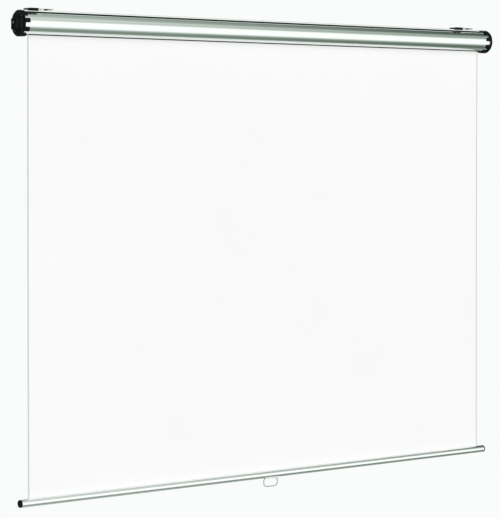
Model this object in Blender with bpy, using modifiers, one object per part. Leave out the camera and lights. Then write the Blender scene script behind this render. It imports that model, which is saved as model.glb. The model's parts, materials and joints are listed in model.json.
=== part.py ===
"""Manual pull-down projector screen, drawn with its sheet fully out.

A round aluminium case hangs from two brackets that slide on a rail along its top. Inside it a spring
roller carries the white sheet, which ends in a round bottom bar with a pull handle.

The origin is on the ceiling, above the middle of the case. +X runs along the case to the right, the
viewer stands at -Y and +Z is up. Every size is in metres.
"""

import math

import bmesh
import bpy
from mathutils import Matrix, Vector

MM = 0.001

# Between two pieces that touch on the real screen
GAP = 0.3 * MM
# Points closer than this are one point
WELD = 0.001 * MM

# The sheet's width, and how far the other long pieces reach past its edges
SHEET_WIDTH = 2000 * MM
GUIDE_OVERHANG = 3 * MM
ROLLER_OVERHANG = 4 * MM
BAR_OVERHANG = 28.5 * MM
CASE_OVERHANG = 33 * MM

# Case: a round tube with a slot below and a bracket rail along its crown
CASE_RADIUS = 36.5 * MM
CASE_WALL = 1.6 * MM
SLOT_WIDTH = 11 * MM
RAIL_WIDTH = 25 * MM
RAIL_RISE = 6.9 * MM
RAIL_SIDE = 4.2 * MM
RAIL_NECK = 19 * MM
RAIL_LIP = 1.5 * MM
RAIL_MOUTH = 10 * MM
RAIL_CHAMBER = 16 * MM
RAIL_FLOOR = 1.8 * MM

# Screw ports inside the tube, by their angle from straight up towards the back
PORT_ANGLES = (-139, -41, 144)
PORT_RADIUS = 3.6 * MM
PORT_BORE = 1.7 * MM
PORT_INSET = 3.2 * MM

# Black strips that line the slot
GUIDE_WALL = 2.2 * MM
GUIDE_GRIP = 6.5 * MM
GUIDE_LIP = 1.8 * MM
GUIDE_DROP = 0.8 * MM
GUIDE_CHAMFER = 0.6 * MM

# End caps
FLANGE_RADIUS = 43 * MM
FLANGE_THICKNESS = 3 * MM
FLANGE_EDGE = 1.2 * MM
TAB_ANGLES = (35, 78, 121, 164)
TAB_SPAN = 20
TAB_LENGTH = 18 * MM
TAB_THICKNESS = 5.8 * MM
SPIGOT_SPAN = 60
SPIGOT_LENGTH = 10 * MM
SPIGOT_WALL = 2.7 * MM
BOSS_SIDE = 36 * MM
BOSS_HEIGHT = 16 * MM
BOSS_DROP = 2.5 * MM
BOSS_CORNER = 3 * MM
BOSS_EDGE = 1 * MM
BOSS_WALL = 2.5 * MM
BOSS_RECESS = 3.5 * MM
AXLE_BOSS_RADIUS = 11 * MM
CAP_OVERLAP = 1.5 * MM

# End cap screws
SCREW_RADIUS = 1.4 * MM
SCREW_HEAD_RADIUS = 3.2 * MM
SCREW_HEAD_HEIGHT = 1.8 * MM
SCREW_REACH = 12 * MM

# Roller, a little behind and above the middle of the case
ROLLER_Y = 9 * MM
ROLLER_Z = 3 * MM
ROLLER_RADIUS = 19 * MM
ROLLER_WALL = 1.2 * MM
PLUG_FLANGE = 3 * MM
PLUG_SPIGOT = 19 * MM
SHAFT_RADIUS = 4 * MM
BUSH_WALL = 2.7 * MM
BUSH_LENGTH = 14 * MM

# Spring motor in the roller's left end
TANG_WIDTH = 5 * MM
TANG_HEIGHT = 8 * MM
TANG_PROUD = 1 * MM
SPEAR_LENGTH = 470 * MM
ANCHOR_LENGTH = 24 * MM
ANCHOR_RADIUS = 11 * MM
SPRING_RADIUS = 9 * MM
SPRING_WIRE = 1.1 * MM
SPRING_TURNS = 10
SPRING_POINTS = 10

# Ratchet wheel, which stands still, and the two pawls that go round it with the roller
RATCHET_RADIUS = 8.5 * MM
RATCHET_THICKNESS = 4 * MM
NOTCH_FLAT = 6 * MM
NOTCH_WALL = 4.3 * MM
PAWL_PIVOT_Y = -10 * MM
PAWL_PIVOT_Z = 11 * MM
PAWL_LENGTH = 12 * MM
PAWL_HUB = 3.4 * MM
PAWL_TIP = 1.8 * MM
PAWL_THICKNESS = 5 * MM
PAWL_PIN_RADIUS = 1.5 * MM
PAWL_PIN_HEAD = 2.6 * MM
PAWL_PIN_CAP = 1 * MM
PAWL_PIN_DEPTH = 2 * MM
PAWL_CLEARANCE = 0.7 * MM
HEAD_CLEARANCE = 2.4 * MM

# Sheet
SHEET_THICKNESS = 0.4 * MM
SPARE_TURNS = 2
LEAD_STEP = 1 * MM

# Bottom bar
BAR_DROP = 1546 * MM
BAR_RADIUS = 12.5 * MM
BAR_WALL = 1.5 * MM
BAR_MOUTH = 2.4 * MM
HEM_ROD_RADIUS = 2.5 * MM
BAR_PLUG_FLANGE = 5 * MM
BAR_PLUG_EDGE = 1 * MM
BAR_PLUG_SPIGOT = 14 * MM

# Pull handle and the clip that holds it under the bar
HANDLE_WIDTH = 65 * MM
HANDLE_DROP = 32 * MM
HANDLE_WIRE = 1.75 * MM
HANDLE_CORNER = 14 * MM
HANDLE_ELBOW = 2.75 * MM
CLIP_WALL = 1.6 * MM
CLIP_FLOOR = 1.8 * MM
CLIP_SPAN = 80
CLIP_FLAT = 8 * MM
LUG_THICKNESS = 4.5 * MM
LUG_RADIUS = 3.4 * MM
LUG_ROOT = 0.8 * MM
PIVOT_DROP = 4.3 * MM
CLIP_SCREW_SPACING = 20 * MM
CLIP_SCREW_RADIUS = 1.4 * MM
CLIP_SCREW_HEAD = 2.5 * MM
CLIP_SCREW_HEIGHT = 1.4 * MM

# Brackets, by how far each one's middle is from the case's end
LEFT_BRACKET_INSET = 75 * MM
RIGHT_BRACKET_INSET = 115 * MM
PLATE_LENGTH = 96 * MM
PLATE_WIDTH = 28 * MM
PLATE_THICKNESS = 1.8 * MM
PLATE_CORNER = 4 * MM
PAD_RADIUS = 8 * MM
PAD_RISE = 1 * MM
CEILING_HOLE = 2.6 * MM
LOCATING_HOLE = 2 * MM
LOCATING_HOLE_PLACE = 60 * MM
BLOCK_LENGTH = 36 * MM
BLOCK_WIDTH = 36 * MM
BLOCK_CORNER = 2 * MM
BLOCK_HEIGHT = 4.3 * MM
SKIRT_DEPTH = 3 * MM
DRIVER_HOLE = 3.6 * MM
FOOT_LENGTH = 84 * MM
STUD_RADIUS = 2 * MM
STUD_SPACING = 28 * MM
ADJUSTER_RADIUS = 1.8 * MM
ADJUSTER_LENGTH = 25 * MM
ADJUSTER_SHANK = 1 * MM
ADJUSTER_DEPTH = 12 * MM
LEVER_PLACE = 74 * MM
LEVER_PIN_RADIUS = 1.6 * MM
LEVER_TOP = 7.5 * MM
LEVER_FOOT = 3.4 * MM
LEVER_CLEARANCE = 0.6 * MM
LEVER_ARM = 26 * MM
LEVER_ARM_WIDTH = 8 * MM
LEVER_ARM_TIP = 5 * MM
LEVER_ARM_THICKNESS = 1.8 * MM
LEVER_ARM_INSET = 0.15 * MM

# Facets of a full turn
CASE_FACETS = 90
LARGE_FACETS = 48
MEDIUM_FACETS = 24
SMALL_FACETS = 12
SCREW_FACETS = 10
SHARP_ANGLE = 40

# Heights, from the ceiling down
RAIL_TOP_Z = -(PAD_RISE + PLATE_THICKNESS + BLOCK_HEIGHT + 2 * GAP)
CASE_Z = RAIL_TOP_Z - RAIL_RISE - CASE_RADIUS
BAR_Z = CASE_Z - BAR_DROP

# Places in the case's section, from its axis
CASE_BORE = CASE_RADIUS - CASE_WALL
SLOT_HALF = SLOT_WIDTH / 2
RAIL_TOP = CASE_RADIUS + RAIL_RISE
CHAMBER_FLOOR = CASE_BORE + RAIL_FLOOR
PORT_DISTANCE = CASE_BORE - PORT_INSET
GUIDE_FACE = SLOT_HALF - GAP - GUIDE_WALL
GUIDE_SEAT = SLOT_HALF - GAP
SHEET_Y = GUIDE_FACE - GAP - SHEET_THICKNESS / 2

# Places along the case, from its middle
SHEET_END = SHEET_WIDTH / 2
GUIDE_END = SHEET_END + GUIDE_OVERHANG
CASE_END = SHEET_END + CASE_OVERHANG
FLANGE_INNER = CASE_END + GAP
FLANGE_OUTER = FLANGE_INNER + FLANGE_THICKNESS
BOSS_END = FLANGE_OUTER + BOSS_HEIGHT
RECESS_FLOOR = BOSS_END - BOSS_RECESS
ROLLER_END = SHEET_END + ROLLER_OVERHANG
PLUG_FACE = ROLLER_END + GAP + PLUG_FLANGE
AXLE_BOSS_END = PLUG_FACE + PAWL_THICKNESS + 2 * GAP + PAWL_PIN_CAP + HEAD_CLEARANCE
PLUG_BACK = ROLLER_END - PLUG_SPIGOT
SPEAR_INNER = AXLE_BOSS_END - SPEAR_LENGTH + GAP
ANCHOR_INNER = SPEAR_INNER + GAP
BAR_END = SHEET_END + BAR_OVERHANG
BRACKET_PLACES = {
    "left": LEFT_BRACKET_INSET - CASE_END,
    "right": CASE_END - RIGHT_BRACKET_INSET,
}

# Radii that follow from what they fit
SHAFT_BORE = SHAFT_RADIUS + GAP
BUSH_RADIUS = SHAFT_BORE + BUSH_WALL
ROLL_BORE = ROLLER_RADIUS + GAP
ROLL_RADIUS = ROLL_BORE + SPARE_TURNS * SHEET_THICKNESS

ROLLER_AXIS = Vector((0, ROLLER_Y, CASE_Z + ROLLER_Z))
CASE_AXIS = Vector((0, 0, CASE_Z))
BAR_AXIS = Vector((0, SHEET_Y, BAR_Z))
HANDLE_PIVOT = BAR_AXIS - Vector((0, 0, BAR_RADIUS + PIVOT_DROP))

# How a section's own axes (across, up, along) lie in the object
FACING = {
    "X": Matrix(((0, 0, 1, 0), (1, 0, 0, 0), (0, 1, 0, 0), (0, 0, 0, 1))),
    "-X": Matrix(((0, 0, -1, 0), (-1, 0, 0, 0), (0, 1, 0, 0), (0, 0, 0, 1))),
    "Z": Matrix.Identity(4),
    "-Z": Matrix.Rotation(math.pi, 4, "X"),
}


def clear_scene():
    for old in list(bpy.data.objects):
        bpy.data.objects.remove(old)


def new_collection(name, rendered):
    collection = bpy.data.collections.new(name)
    collection.hide_render = not rendered
    bpy.context.scene.collection.children.link(collection)
    return collection


def finish(name, colour, roughness, metallic):
    material = bpy.data.materials.new(name)
    material.use_nodes = True
    shader = material.node_tree.nodes["Principled BSDF"]
    shader.inputs["Base Color"].default_value = (*colour, 1)
    shader.inputs["Roughness"].default_value = roughness
    shader.inputs["Metallic"].default_value = metallic
    material.diffuse_color = (*colour, 1)
    return material


def place(name, mesh, matrix, material):
    solid = bpy.data.objects.new(name, mesh)
    bpy.data.collections["projector_screen"].objects.link(solid)
    solid.matrix_world = matrix
    if material:
        mesh.materials.clear()
        mesh.materials.append(material)
    return solid


def settle(drawn, name, material):
    """Turns a curve, or an object with modifiers, into a plain closed mesh in the same place."""
    bpy.context.view_layer.update()
    graph = bpy.context.evaluated_depsgraph_get()
    mesh = bpy.data.meshes.new_from_object(drawn.evaluated_get(graph))
    work = bmesh.new()
    work.from_mesh(mesh)
    bmesh.ops.remove_doubles(work, verts=work.verts, dist=WELD)
    bmesh.ops.recalc_face_normals(work, faces=work.faces)
    work.to_mesh(mesh)
    work.free()
    mesh.shade_smooth()
    mesh.set_sharp_from_angle(angle=math.radians(SHARP_ANGLE))
    matrix = drawn.matrix_world.copy()
    bpy.data.objects.remove(drawn)
    mesh.name = name
    return place(name, mesh, matrix, material)


def prism(name, loops, low, high, material=None, along="X", at=(0, 0, 0)):
    """A straight bar with the section that the loops enclose, from low to high along its axis."""
    curve = bpy.data.curves.new(name, "CURVE")
    curve.dimensions = "2D"
    curve.fill_mode = "BOTH"
    curve.extrude = (high - low) / 2
    for loop in loops:
        spline = curve.splines.new("POLY")
        spline.points.add(len(loop) - 1)
        for point, (across, up) in zip(spline.points, loop):
            point.co = (across, up, 0, 1)
        spline.use_cyclic_u = True
    outline = bpy.data.objects.new(name + "_outline", curve)
    bpy.context.scene.collection.objects.link(outline)
    middle = Matrix.Translation((0, 0, (low + high) / 2))
    outline.matrix_world = Matrix.Translation(at) @ FACING[along] @ middle
    return settle(outline, name, material)


def turned(name, profile, at, facing, material=None, facets=MEDIUM_FACETS, ring=False):
    """A round solid. Its profile gives (height, radius) down the outer side, and back up a ring's bore."""
    mesh = bpy.data.meshes.new(name + "_profile")
    edges = [(i, i + 1) for i in range(len(profile) - 1)]
    if ring:
        edges.append((len(profile) - 1, 0))
    mesh.from_pydata([(radius, 0, height) for height, radius in profile], edges, [])
    drawn = bpy.data.objects.new(name + "_profile", mesh)
    bpy.context.scene.collection.objects.link(drawn)
    drawn.matrix_world = Matrix.Translation(at) @ FACING[facing]
    screw = drawn.modifiers.new("turn", "SCREW")
    screw.steps = facets
    screw.render_steps = facets
    screw.use_merge_vertices = True
    screw.merge_threshold = WELD
    return settle(drawn, name, material)


def copies(pattern, places, material):
    """An object for each name in places, all with the pattern's mesh, each at its own place."""
    mesh = pattern.data
    turn = pattern.matrix_world.copy()
    bpy.data.objects.remove(pattern)
    return [place(name, mesh, matrix @ turn, material) for name, matrix in places.items()]


def boolean(solid, tool, operation):
    """Cuts a tool away from a solid, or joins it on, and keeps the tool as a hidden helper."""
    modifier = solid.modifiers.new(tool.name, "BOOLEAN")
    modifier.operation = operation
    modifier.solver = "EXACT"
    modifier.object = tool
    bpy.data.collections["projector_screen"].objects.unlink(tool)
    bpy.data.collections["cutters"].objects.link(tool)
    tool.hide_render = True
    tool.display_type = "WIRE"


def bevel(solid, width, segments=1):
    modifier = solid.modifiers.new("edges", "BEVEL")
    modifier.width = width
    modifier.segments = segments
    modifier.limit_method = "ANGLE"
    modifier.angle_limit = math.radians(SHARP_ANGLE)


def carrier(name, at, *solids):
    """An empty on a joint's axis that carries the pieces which move about it."""
    empty = bpy.data.objects.new(name, None)
    bpy.data.collections["projector_screen"].objects.link(empty)
    empty.location = at
    for solid in solids:
        solid.parent = empty
        solid.matrix_parent_inverse = Matrix.Translation(at).inverted()
    return empty


def on_circle(radius, degrees, centre=(0, 0)):
    """A point at an angle from straight up, towards the back."""
    turn = math.radians(degrees)
    return centre[0] + radius * math.sin(turn), centre[1] + radius * math.cos(turn)


def arc(radius, start, end, facets=CASE_FACETS, centre=(0, 0)):
    """Points from one angle to the other, both included."""
    count = max(1, round(abs(end - start) / 360 * facets))
    return [on_circle(radius, start + (end - start) * i / count, centre) for i in range(count + 1)]


def circle(radius, facets, centre=(0, 0)):
    return arc(radius, 0, 360, facets, centre)[:-1]


def sector(inner, outer, start, end, facets=CASE_FACETS):
    return arc(outer, start, end, facets) + arc(inner, end, start, facets)


def box(width, height, centre=(0, 0)):
    y, z = centre
    corners = ((-1, -1), (1, -1), (1, 1), (-1, 1))
    return [(y + side * width / 2, z + up * height / 2) for side, up in corners]


def rounded_box(width, height, corner, centre=(0, 0), facets=SMALL_FACETS):
    """A rectangle with round corners, from its lower left corner on."""
    loop = []
    inner = box(width - 2 * corner, height - 2 * corner, centre)
    for start, middle in zip((270, 180, 90, 0), inner):
        loop += arc(corner, start, start - 90, facets, middle)
    return loop


def half_angle(half_width, radius):
    return math.degrees(math.asin(half_width / radius))


def mirrored(loop):
    return [(-y, z) for y, z in reversed(loop)]


def port_centre(angle):
    return on_circle(PORT_DISTANCE, angle)


def port_bump(angle):
    """The inner wall where it goes round a screw port, and half the angle that the port takes up."""
    cosine = CASE_BORE**2 + PORT_DISTANCE**2 - PORT_RADIUS**2
    spread = math.acos(cosine / (2 * CASE_BORE * PORT_DISTANCE))
    out = CASE_BORE * math.cos(spread) - PORT_DISTANCE
    meets = math.degrees(math.atan2(CASE_BORE * math.sin(spread), out))
    start = angle - meets
    end = angle + meets - 360
    return arc(PORT_RADIUS, start, end, SMALL_FACETS, port_centre(angle)), math.degrees(spread)


def case_section():
    """The extrusion's outline, from the slot round the outside and back along the inside."""
    slot = 180 - half_angle(SLOT_HALF, CASE_RADIUS)
    neck = half_angle(RAIL_NECK / 2, CASE_RADIUS)
    lip = RAIL_TOP - RAIL_LIP
    under = RAIL_TOP - RAIL_SIDE
    rail_half = [
        (RAIL_NECK / 2, under),
        (RAIL_WIDTH / 2, under),
        (RAIL_WIDTH / 2, RAIL_TOP),
        (RAIL_MOUTH / 2, RAIL_TOP),
        (RAIL_MOUTH / 2, lip),
        (RAIL_CHAMBER / 2, lip),
        (RAIL_CHAMBER / 2, CHAMBER_FLOOR),
    ]
    outer = arc(CASE_RADIUS, slot, neck) + rail_half
    outer += mirrored(rail_half) + arc(CASE_RADIUS, -neck, -slot)
    inner_slot = 180 - half_angle(SLOT_HALF, CASE_BORE)
    inner = []
    angle = -inner_slot
    for port in PORT_ANGLES:
        bump, spread = port_bump(port)
        inner += arc(CASE_BORE, angle, port - spread) + bump
        angle = port + spread
    inner += arc(CASE_BORE, angle, inner_slot)
    bores = [circle(PORT_BORE, SMALL_FACETS, port_centre(port)) for port in PORT_ANGLES]
    return [without_repeats(outer + inner), *bores]


def without_repeats(loop):
    """Leaves out a point that lies on the one before it."""
    kept = []
    for point in loop:
        if not kept or math.dist(point, kept[-1]) > WELD:
            kept.append(point)
    return kept


def guide_section():
    """The rear strip: a channel that grips the slot's edge from inside and outside."""

    def under(y):
        return -math.sqrt(CASE_RADIUS**2 - y**2) - GAP

    def over(y):
        return -math.sqrt(CASE_BORE**2 - y**2) + GAP

    end = SLOT_HALF + GUIDE_GRIP
    bottom = -CASE_RADIUS - GUIDE_DROP
    return [
        (GUIDE_FACE, bottom + GUIDE_CHAMFER),
        (GUIDE_FACE + GUIDE_CHAMFER, bottom),
        (GUIDE_SEAT, bottom),
        (end, under(end) - GUIDE_CHAMFER),
        (end, under(end)),
        (GUIDE_SEAT, under(GUIDE_SEAT)),
        (GUIDE_SEAT, over(GUIDE_SEAT)),
        (end, over(end)),
        (end, over(end) + GUIDE_LIP - GUIDE_CHAMFER),
        (GUIDE_SEAT, guide_top()),
        (GUIDE_FACE + GUIDE_CHAMFER, guide_top()),
        (GUIDE_FACE, guide_top() - GUIDE_CHAMFER),
    ]


def guide_top():
    return -math.sqrt(CASE_BORE**2 - GUIDE_SEAT**2) + GAP + GUIDE_LIP


def make_case(metal, black):
    prism("case_tube", case_section(), -CASE_END, CASE_END, metal, at=CASE_AXIS)
    reach = (-GUIDE_END, GUIDE_END)
    prism("slot_guide_rear", [guide_section()], *reach, black, at=CASE_AXIS)
    prism("slot_guide_front", [mirrored(guide_section())], *reach, black, at=CASE_AXIS)


def span(side, near, far):
    """The stretch between two distances from the middle, on one side of it."""
    return sorted((side * near, side * far))


def end_cap(name, side, bore, bore_end, black):
    """A cap: a disc with gripping tabs, a square boss outside and a socket for the roller's end inside."""
    rim = FLANGE_RADIUS - FLANGE_EDGE
    edge = [
        (FLANGE_THICKNESS - FLANGE_EDGE + z, rim + r)
        for r, z in arc(FLANGE_EDGE, 0, 90, MEDIUM_FACETS // 2)
    ]
    profile = [(FLANGE_THICKNESS, 0), *edge, (0, FLANGE_RADIUS), (0, 0)]
    facing = "X" if side > 0 else "-X"
    start = CASE_AXIS + Vector((side * FLANGE_INNER, 0, 0))
    cap = turned(name, profile, start, facing, black, LARGE_FACETS)
    root = FLANGE_INNER + CAP_OVERLAP

    reach = span(side, FLANGE_OUTER - CAP_OVERLAP - BOSS_EDGE, BOSS_END)
    block = [rounded_box(BOSS_SIDE, BOSS_SIDE, BOSS_CORNER, (0, -BOSS_DROP))]
    boss = prism(name + "_boss", block, *reach, at=CASE_AXIS)
    bevel(boss, BOSS_EDGE)
    boolean(cap, boss, "UNION")

    inside = BOSS_SIDE - 2 * BOSS_WALL
    recess = [rounded_box(inside, inside, BOSS_CORNER / 2, (0, -BOSS_DROP))]
    reach = span(side, RECESS_FLOOR, BOSS_END + CAP_OVERLAP)
    boolean(cap, prism(name + "_recess", recess, *reach, at=CASE_AXIS), "DIFFERENCE")

    tab_inner = CASE_RADIUS + GAP
    tab_outer = tab_inner + TAB_THICKNESS
    tabs = []
    for angle in (*TAB_ANGLES, *(-angle for angle in TAB_ANGLES)):
        tabs.append(sector(tab_inner, tab_outer, angle - TAB_SPAN / 2, angle + TAB_SPAN / 2))
    reach = span(side, FLANGE_INNER - TAB_LENGTH, root)
    boolean(cap, prism(name + "_tabs", tabs, *reach, at=CASE_AXIS), "UNION")

    spigot = CASE_BORE - GAP
    spigots = []
    for middle in (-90, 90):
        ends = (middle - SPIGOT_SPAN / 2, middle + SPIGOT_SPAN / 2)
        spigots.append(sector(spigot - SPIGOT_WALL, spigot, *ends))
    reach = span(side, FLANGE_INNER - SPIGOT_LENGTH, root)
    boolean(cap, prism(name + "_spigots", spigots, *reach, at=CASE_AXIS), "UNION")

    reach = span(side, AXLE_BOSS_END, root)
    socket = [circle(AXLE_BOSS_RADIUS, MEDIUM_FACETS)]
    boolean(cap, prism(name + "_socket", socket, *reach, at=ROLLER_AXIS), "UNION")

    reach = span(side, AXLE_BOSS_END - CAP_OVERLAP, bore_end)
    boolean(cap, prism(name + "_bore", [bore], *reach, at=ROLLER_AXIS), "DIFFERENCE")

    holes = [circle(PORT_BORE, SMALL_FACETS, port_centre(port)) for port in PORT_ANGLES]
    reach = span(side, FLANGE_INNER - CAP_OVERLAP, FLANGE_OUTER + CAP_OVERLAP)
    boolean(cap, prism(name + "_holes", holes, *reach, at=CASE_AXIS), "DIFFERENCE")


def make_end_caps(black, dark_steel):
    tang_hole = box(TANG_WIDTH + 2 * GAP, TANG_HEIGHT + 2 * GAP)
    end_cap("end_cap_left", -1, tang_hole, BOSS_END, black)
    bush_hole = circle(BUSH_RADIUS + GAP, MEDIUM_FACETS)
    end_cap("end_cap_right", 1, bush_hole, AXLE_BOSS_END + BUSH_LENGTH + GAP, black)

    profile = pan_head(SCREW_HEAD_RADIUS, SCREW_HEAD_HEIGHT, SCREW_RADIUS)
    profile += [(-FLANGE_THICKNESS - SCREW_REACH, SCREW_RADIUS), (-FLANGE_THICKNESS - SCREW_REACH, 0)]
    screw = turned("cap_screw", profile, (0, 0, 0), "X", facets=SCREW_FACETS)
    places = {}
    for name, side in (("left", -1), ("right", 1)):
        turn = Matrix.Rotation(0 if side > 0 else math.pi, 4, "Z")
        for number, port in enumerate(PORT_ANGLES, 1):
            y, z = port_centre(port)
            seat = Matrix.Translation((side * FLANGE_OUTER, y, CASE_Z + z))
            places[f"cap_screw_{name}_{number}"] = seat @ turn
    copies(screw, places, dark_steel)


def pan_head(radius, height, shank):
    """A screw head's profile, from its crown to the shank, standing just clear of its seat."""
    shoulder = height / 2
    return [
        (GAP + height, 0),
        (GAP + height, radius - shoulder),
        (GAP + shoulder, radius),
        (GAP, radius),
        (GAP, shank),
    ]


def plug_profile(bore):
    """A roller plug: a flange against the tube's end and a spigot inside it."""
    spigot = ROLLER_RADIUS - ROLLER_WALL - GAP
    return [
        (PLUG_FACE - ROLLER_END, bore),
        (PLUG_FACE - ROLLER_END, ROLLER_RADIUS),
        (GAP, ROLLER_RADIUS),
        (GAP, spigot),
        (-PLUG_SPIGOT, spigot),
        (-PLUG_SPIGOT, bore),
    ]


def make_roller(metal, steel, grey):
    wall = [
        circle(ROLLER_RADIUS, LARGE_FACETS),
        circle(ROLLER_RADIUS - ROLLER_WALL, LARGE_FACETS),
    ]
    tube = prism("roller_tube", wall, -ROLLER_END, ROLLER_END, metal, at=ROLLER_AXIS)

    left_end = ROLLER_AXIS - Vector((ROLLER_END, 0, 0))
    head = turned("roller_head_plug", plug_profile(SHAFT_BORE), left_end, "-X", grey, ring=True)
    pin_hole = circle(PAWL_PIN_RADIUS + GAP, SMALL_FACETS, (PAWL_PIVOT_Y, PAWL_PIVOT_Z))
    opposite = [(-y, -z) for y, z in pin_hole]
    reach = span(-1, PLUG_FACE - PAWL_PIN_DEPTH - GAP, PLUG_FACE + CAP_OVERLAP)
    holes = prism("pawl_pin_holes", [pin_hole, opposite], *reach, at=ROLLER_AXIS)
    boolean(head, holes, "DIFFERENCE")

    right_end = ROLLER_AXIS + Vector((ROLLER_END, 0, 0))
    idle = turned("roller_idle_plug", plug_profile(SHAFT_BORE), right_end, "X", grey, ring=True)
    pin_start = PLUG_BACK + GAP
    pin_end = AXLE_BOSS_END + BUSH_LENGTH - GAP
    shaft = [circle(SHAFT_RADIUS, MEDIUM_FACETS)]
    pin = prism("idle_pin", shaft, pin_start, pin_end, steel, at=ROLLER_AXIS)
    ring = [circle(BUSH_RADIUS, MEDIUM_FACETS), circle(SHAFT_BORE, MEDIUM_FACETS)]
    bush_start = AXLE_BOSS_END
    prism("idle_bush", ring, bush_start, bush_start + BUSH_LENGTH, grey, at=ROLLER_AXIS)
    return [tube, head, idle, pin]


def pawl_tip_angle():
    """The pawl's direction when its tip just clears the ratchet wheel."""
    clear = RATCHET_RADIUS + PAWL_CLEARANCE + PAWL_TIP
    reach = math.hypot(PAWL_PIVOT_Y, PAWL_PIVOT_Z)
    cosine = (PAWL_LENGTH**2 + reach**2 - clear**2) / (2 * PAWL_LENGTH * reach)
    inward = math.atan2(-PAWL_PIVOT_Z, -PAWL_PIVOT_Y)
    return inward + math.acos(min(1, cosine))


def link(start, start_radius, end, end_radius, facets=SMALL_FACETS):
    """The outline of two circles and the straight sides between them."""
    across = end[0] - start[0]
    up = end[1] - start[1]
    heading = math.degrees(math.atan2(across, up))
    lean = math.degrees(math.acos((start_radius - end_radius) / math.hypot(across, up)))
    first = arc(start_radius, heading + lean, heading + 360 - lean, facets, start)
    return first + arc(end_radius, heading - lean, heading + lean, facets, end)


def ratchet_section():
    """A wheel with two notches. A pawl drops onto the flat and stops against the wall."""
    rise = 90 - math.degrees(math.asin(NOTCH_FLAT / RATCHET_RADIUS))
    stop = math.degrees(math.asin(NOTCH_WALL / RATCHET_RADIUS))
    half = arc(RATCHET_RADIUS, stop, 180 - rise, LARGE_FACETS) + [(-NOTCH_WALL, -NOTCH_FLAT)]
    return without_repeats(half + [(-y, -z) for y, z in half])


def make_spring_motor(steel, grey, spring_steel):
    inner = -SPEAR_INNER
    rod = [circle(SHAFT_RADIUS, MEDIUM_FACETS)]
    spear = prism("spring_spear", rod, -AXLE_BOSS_END + GAP, inner, steel, at=ROLLER_AXIS)
    reach = span(-1, AXLE_BOSS_END - CAP_OVERLAP, RECESS_FLOOR + TANG_PROUD)
    tang = prism("spear_tang", [box(TANG_WIDTH, TANG_HEIGHT)], *reach, at=ROLLER_AXIS)
    boolean(spear, tang, "UNION")

    ratchet_middle = -(PLUG_FACE + GAP + PAWL_THICKNESS / 2)
    half = RATCHET_THICKNESS / 2
    wheel = [ratchet_section(), circle(SHAFT_BORE, MEDIUM_FACETS)]
    reach = (ratchet_middle - half, ratchet_middle + half)
    prism("ratchet_wheel", wheel, *reach, steel, at=ROLLER_AXIS)

    ring = [circle(ANCHOR_RADIUS, MEDIUM_FACETS), circle(SHAFT_BORE, MEDIUM_FACETS)]
    anchor_start = -ANCHOR_INNER - ANCHOR_LENGTH
    prism("spring_anchor", ring, anchor_start, -ANCHOR_INNER, grey, at=ROLLER_AXIS)

    start = -PLUG_BACK + GAP + SPRING_WIRE
    length = anchor_start - GAP - SPRING_WIRE - start
    curve = bpy.data.curves.new("torsion_spring", "CURVE")
    curve.dimensions = "3D"
    curve.bevel_depth = SPRING_WIRE
    curve.bevel_resolution = 1
    curve.use_fill_caps = True
    count = SPRING_TURNS * SPRING_POINTS
    spline = curve.splines.new("POLY")
    spline.points.add(count)
    for step, point in enumerate(spline.points):
        y, z = on_circle(SPRING_RADIUS, 360 * step / SPRING_POINTS)
        point.co = (start + length * step / count, y, z, 1)
    coil = bpy.data.objects.new("torsion_spring_path", curve)
    bpy.context.scene.collection.objects.link(coil)
    coil.matrix_world = Matrix.Translation(ROLLER_AXIS)
    settle(coil, "torsion_spring", spring_steel)


def make_pawls(steel):
    """The two pawls, each about its own pin on the roller's head, and the pair of pins."""
    angle = pawl_tip_angle()
    tip = (PAWL_LENGTH * math.cos(angle), PAWL_LENGTH * math.sin(angle))
    bore = circle(PAWL_PIN_RADIUS + GAP, SMALL_FACETS)
    start = -PLUG_FACE - GAP - PAWL_THICKNESS
    for name, side in (("upper", 1), ("lower", -1)):
        outline = link((0, 0), PAWL_HUB, (side * tip[0], side * tip[1]), PAWL_TIP)
        pivot = ROLLER_AXIS + Vector((0, side * PAWL_PIVOT_Y, side * PAWL_PIVOT_Z))
        reach = (start, start + PAWL_THICKNESS)
        pawl = prism("pawl_" + name, [outline, bore], *reach, steel, at=pivot)
        carrier("pawl_" + name + "_pivot", pivot, pawl)

    shank = PAWL_THICKNESS + 2 * GAP + PAWL_PIN_DEPTH
    profile = [
        (PAWL_PIN_CAP, 0),
        (PAWL_PIN_CAP, PAWL_PIN_HEAD),
        (0, PAWL_PIN_HEAD),
        (0, PAWL_PIN_RADIUS),
        (-shank, PAWL_PIN_RADIUS),
        (-shank, 0),
    ]
    pin = turned("pawl_pin", profile, (0, 0, 0), "-X", facets=SMALL_FACETS)
    seat = Vector((start - GAP, 0, 0))
    places = {}
    for name, side in (("upper", 1), ("lower", -1)):
        offset = Vector((0, side * PAWL_PIVOT_Y, side * PAWL_PIVOT_Z))
        places["pawl_pin_" + name] = Matrix.Translation(ROLLER_AXIS + seat + offset)
    return copies(pin, places, steel)


def strip(points, thickness):
    """The outline of a band of one thickness along a bent line."""
    left = []
    right = []
    for i, (y, z) in enumerate(points):
        before = Vector(points[max(0, i - 1)])
        after = Vector(points[min(len(points) - 1, i + 1)])
        along = (after - before).normalized()
        left.append((y - along.y * thickness / 2, z + along.x * thickness / 2))
        right.append((y + along.y * thickness / 2, z - along.x * thickness / 2))
    return left + right[::-1]


def sheet_top():
    """Where the hanging sheet starts, just inside the slot's rear strip."""
    return guide_top() - GUIDE_CHAMFER - LEAD_STEP


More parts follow.
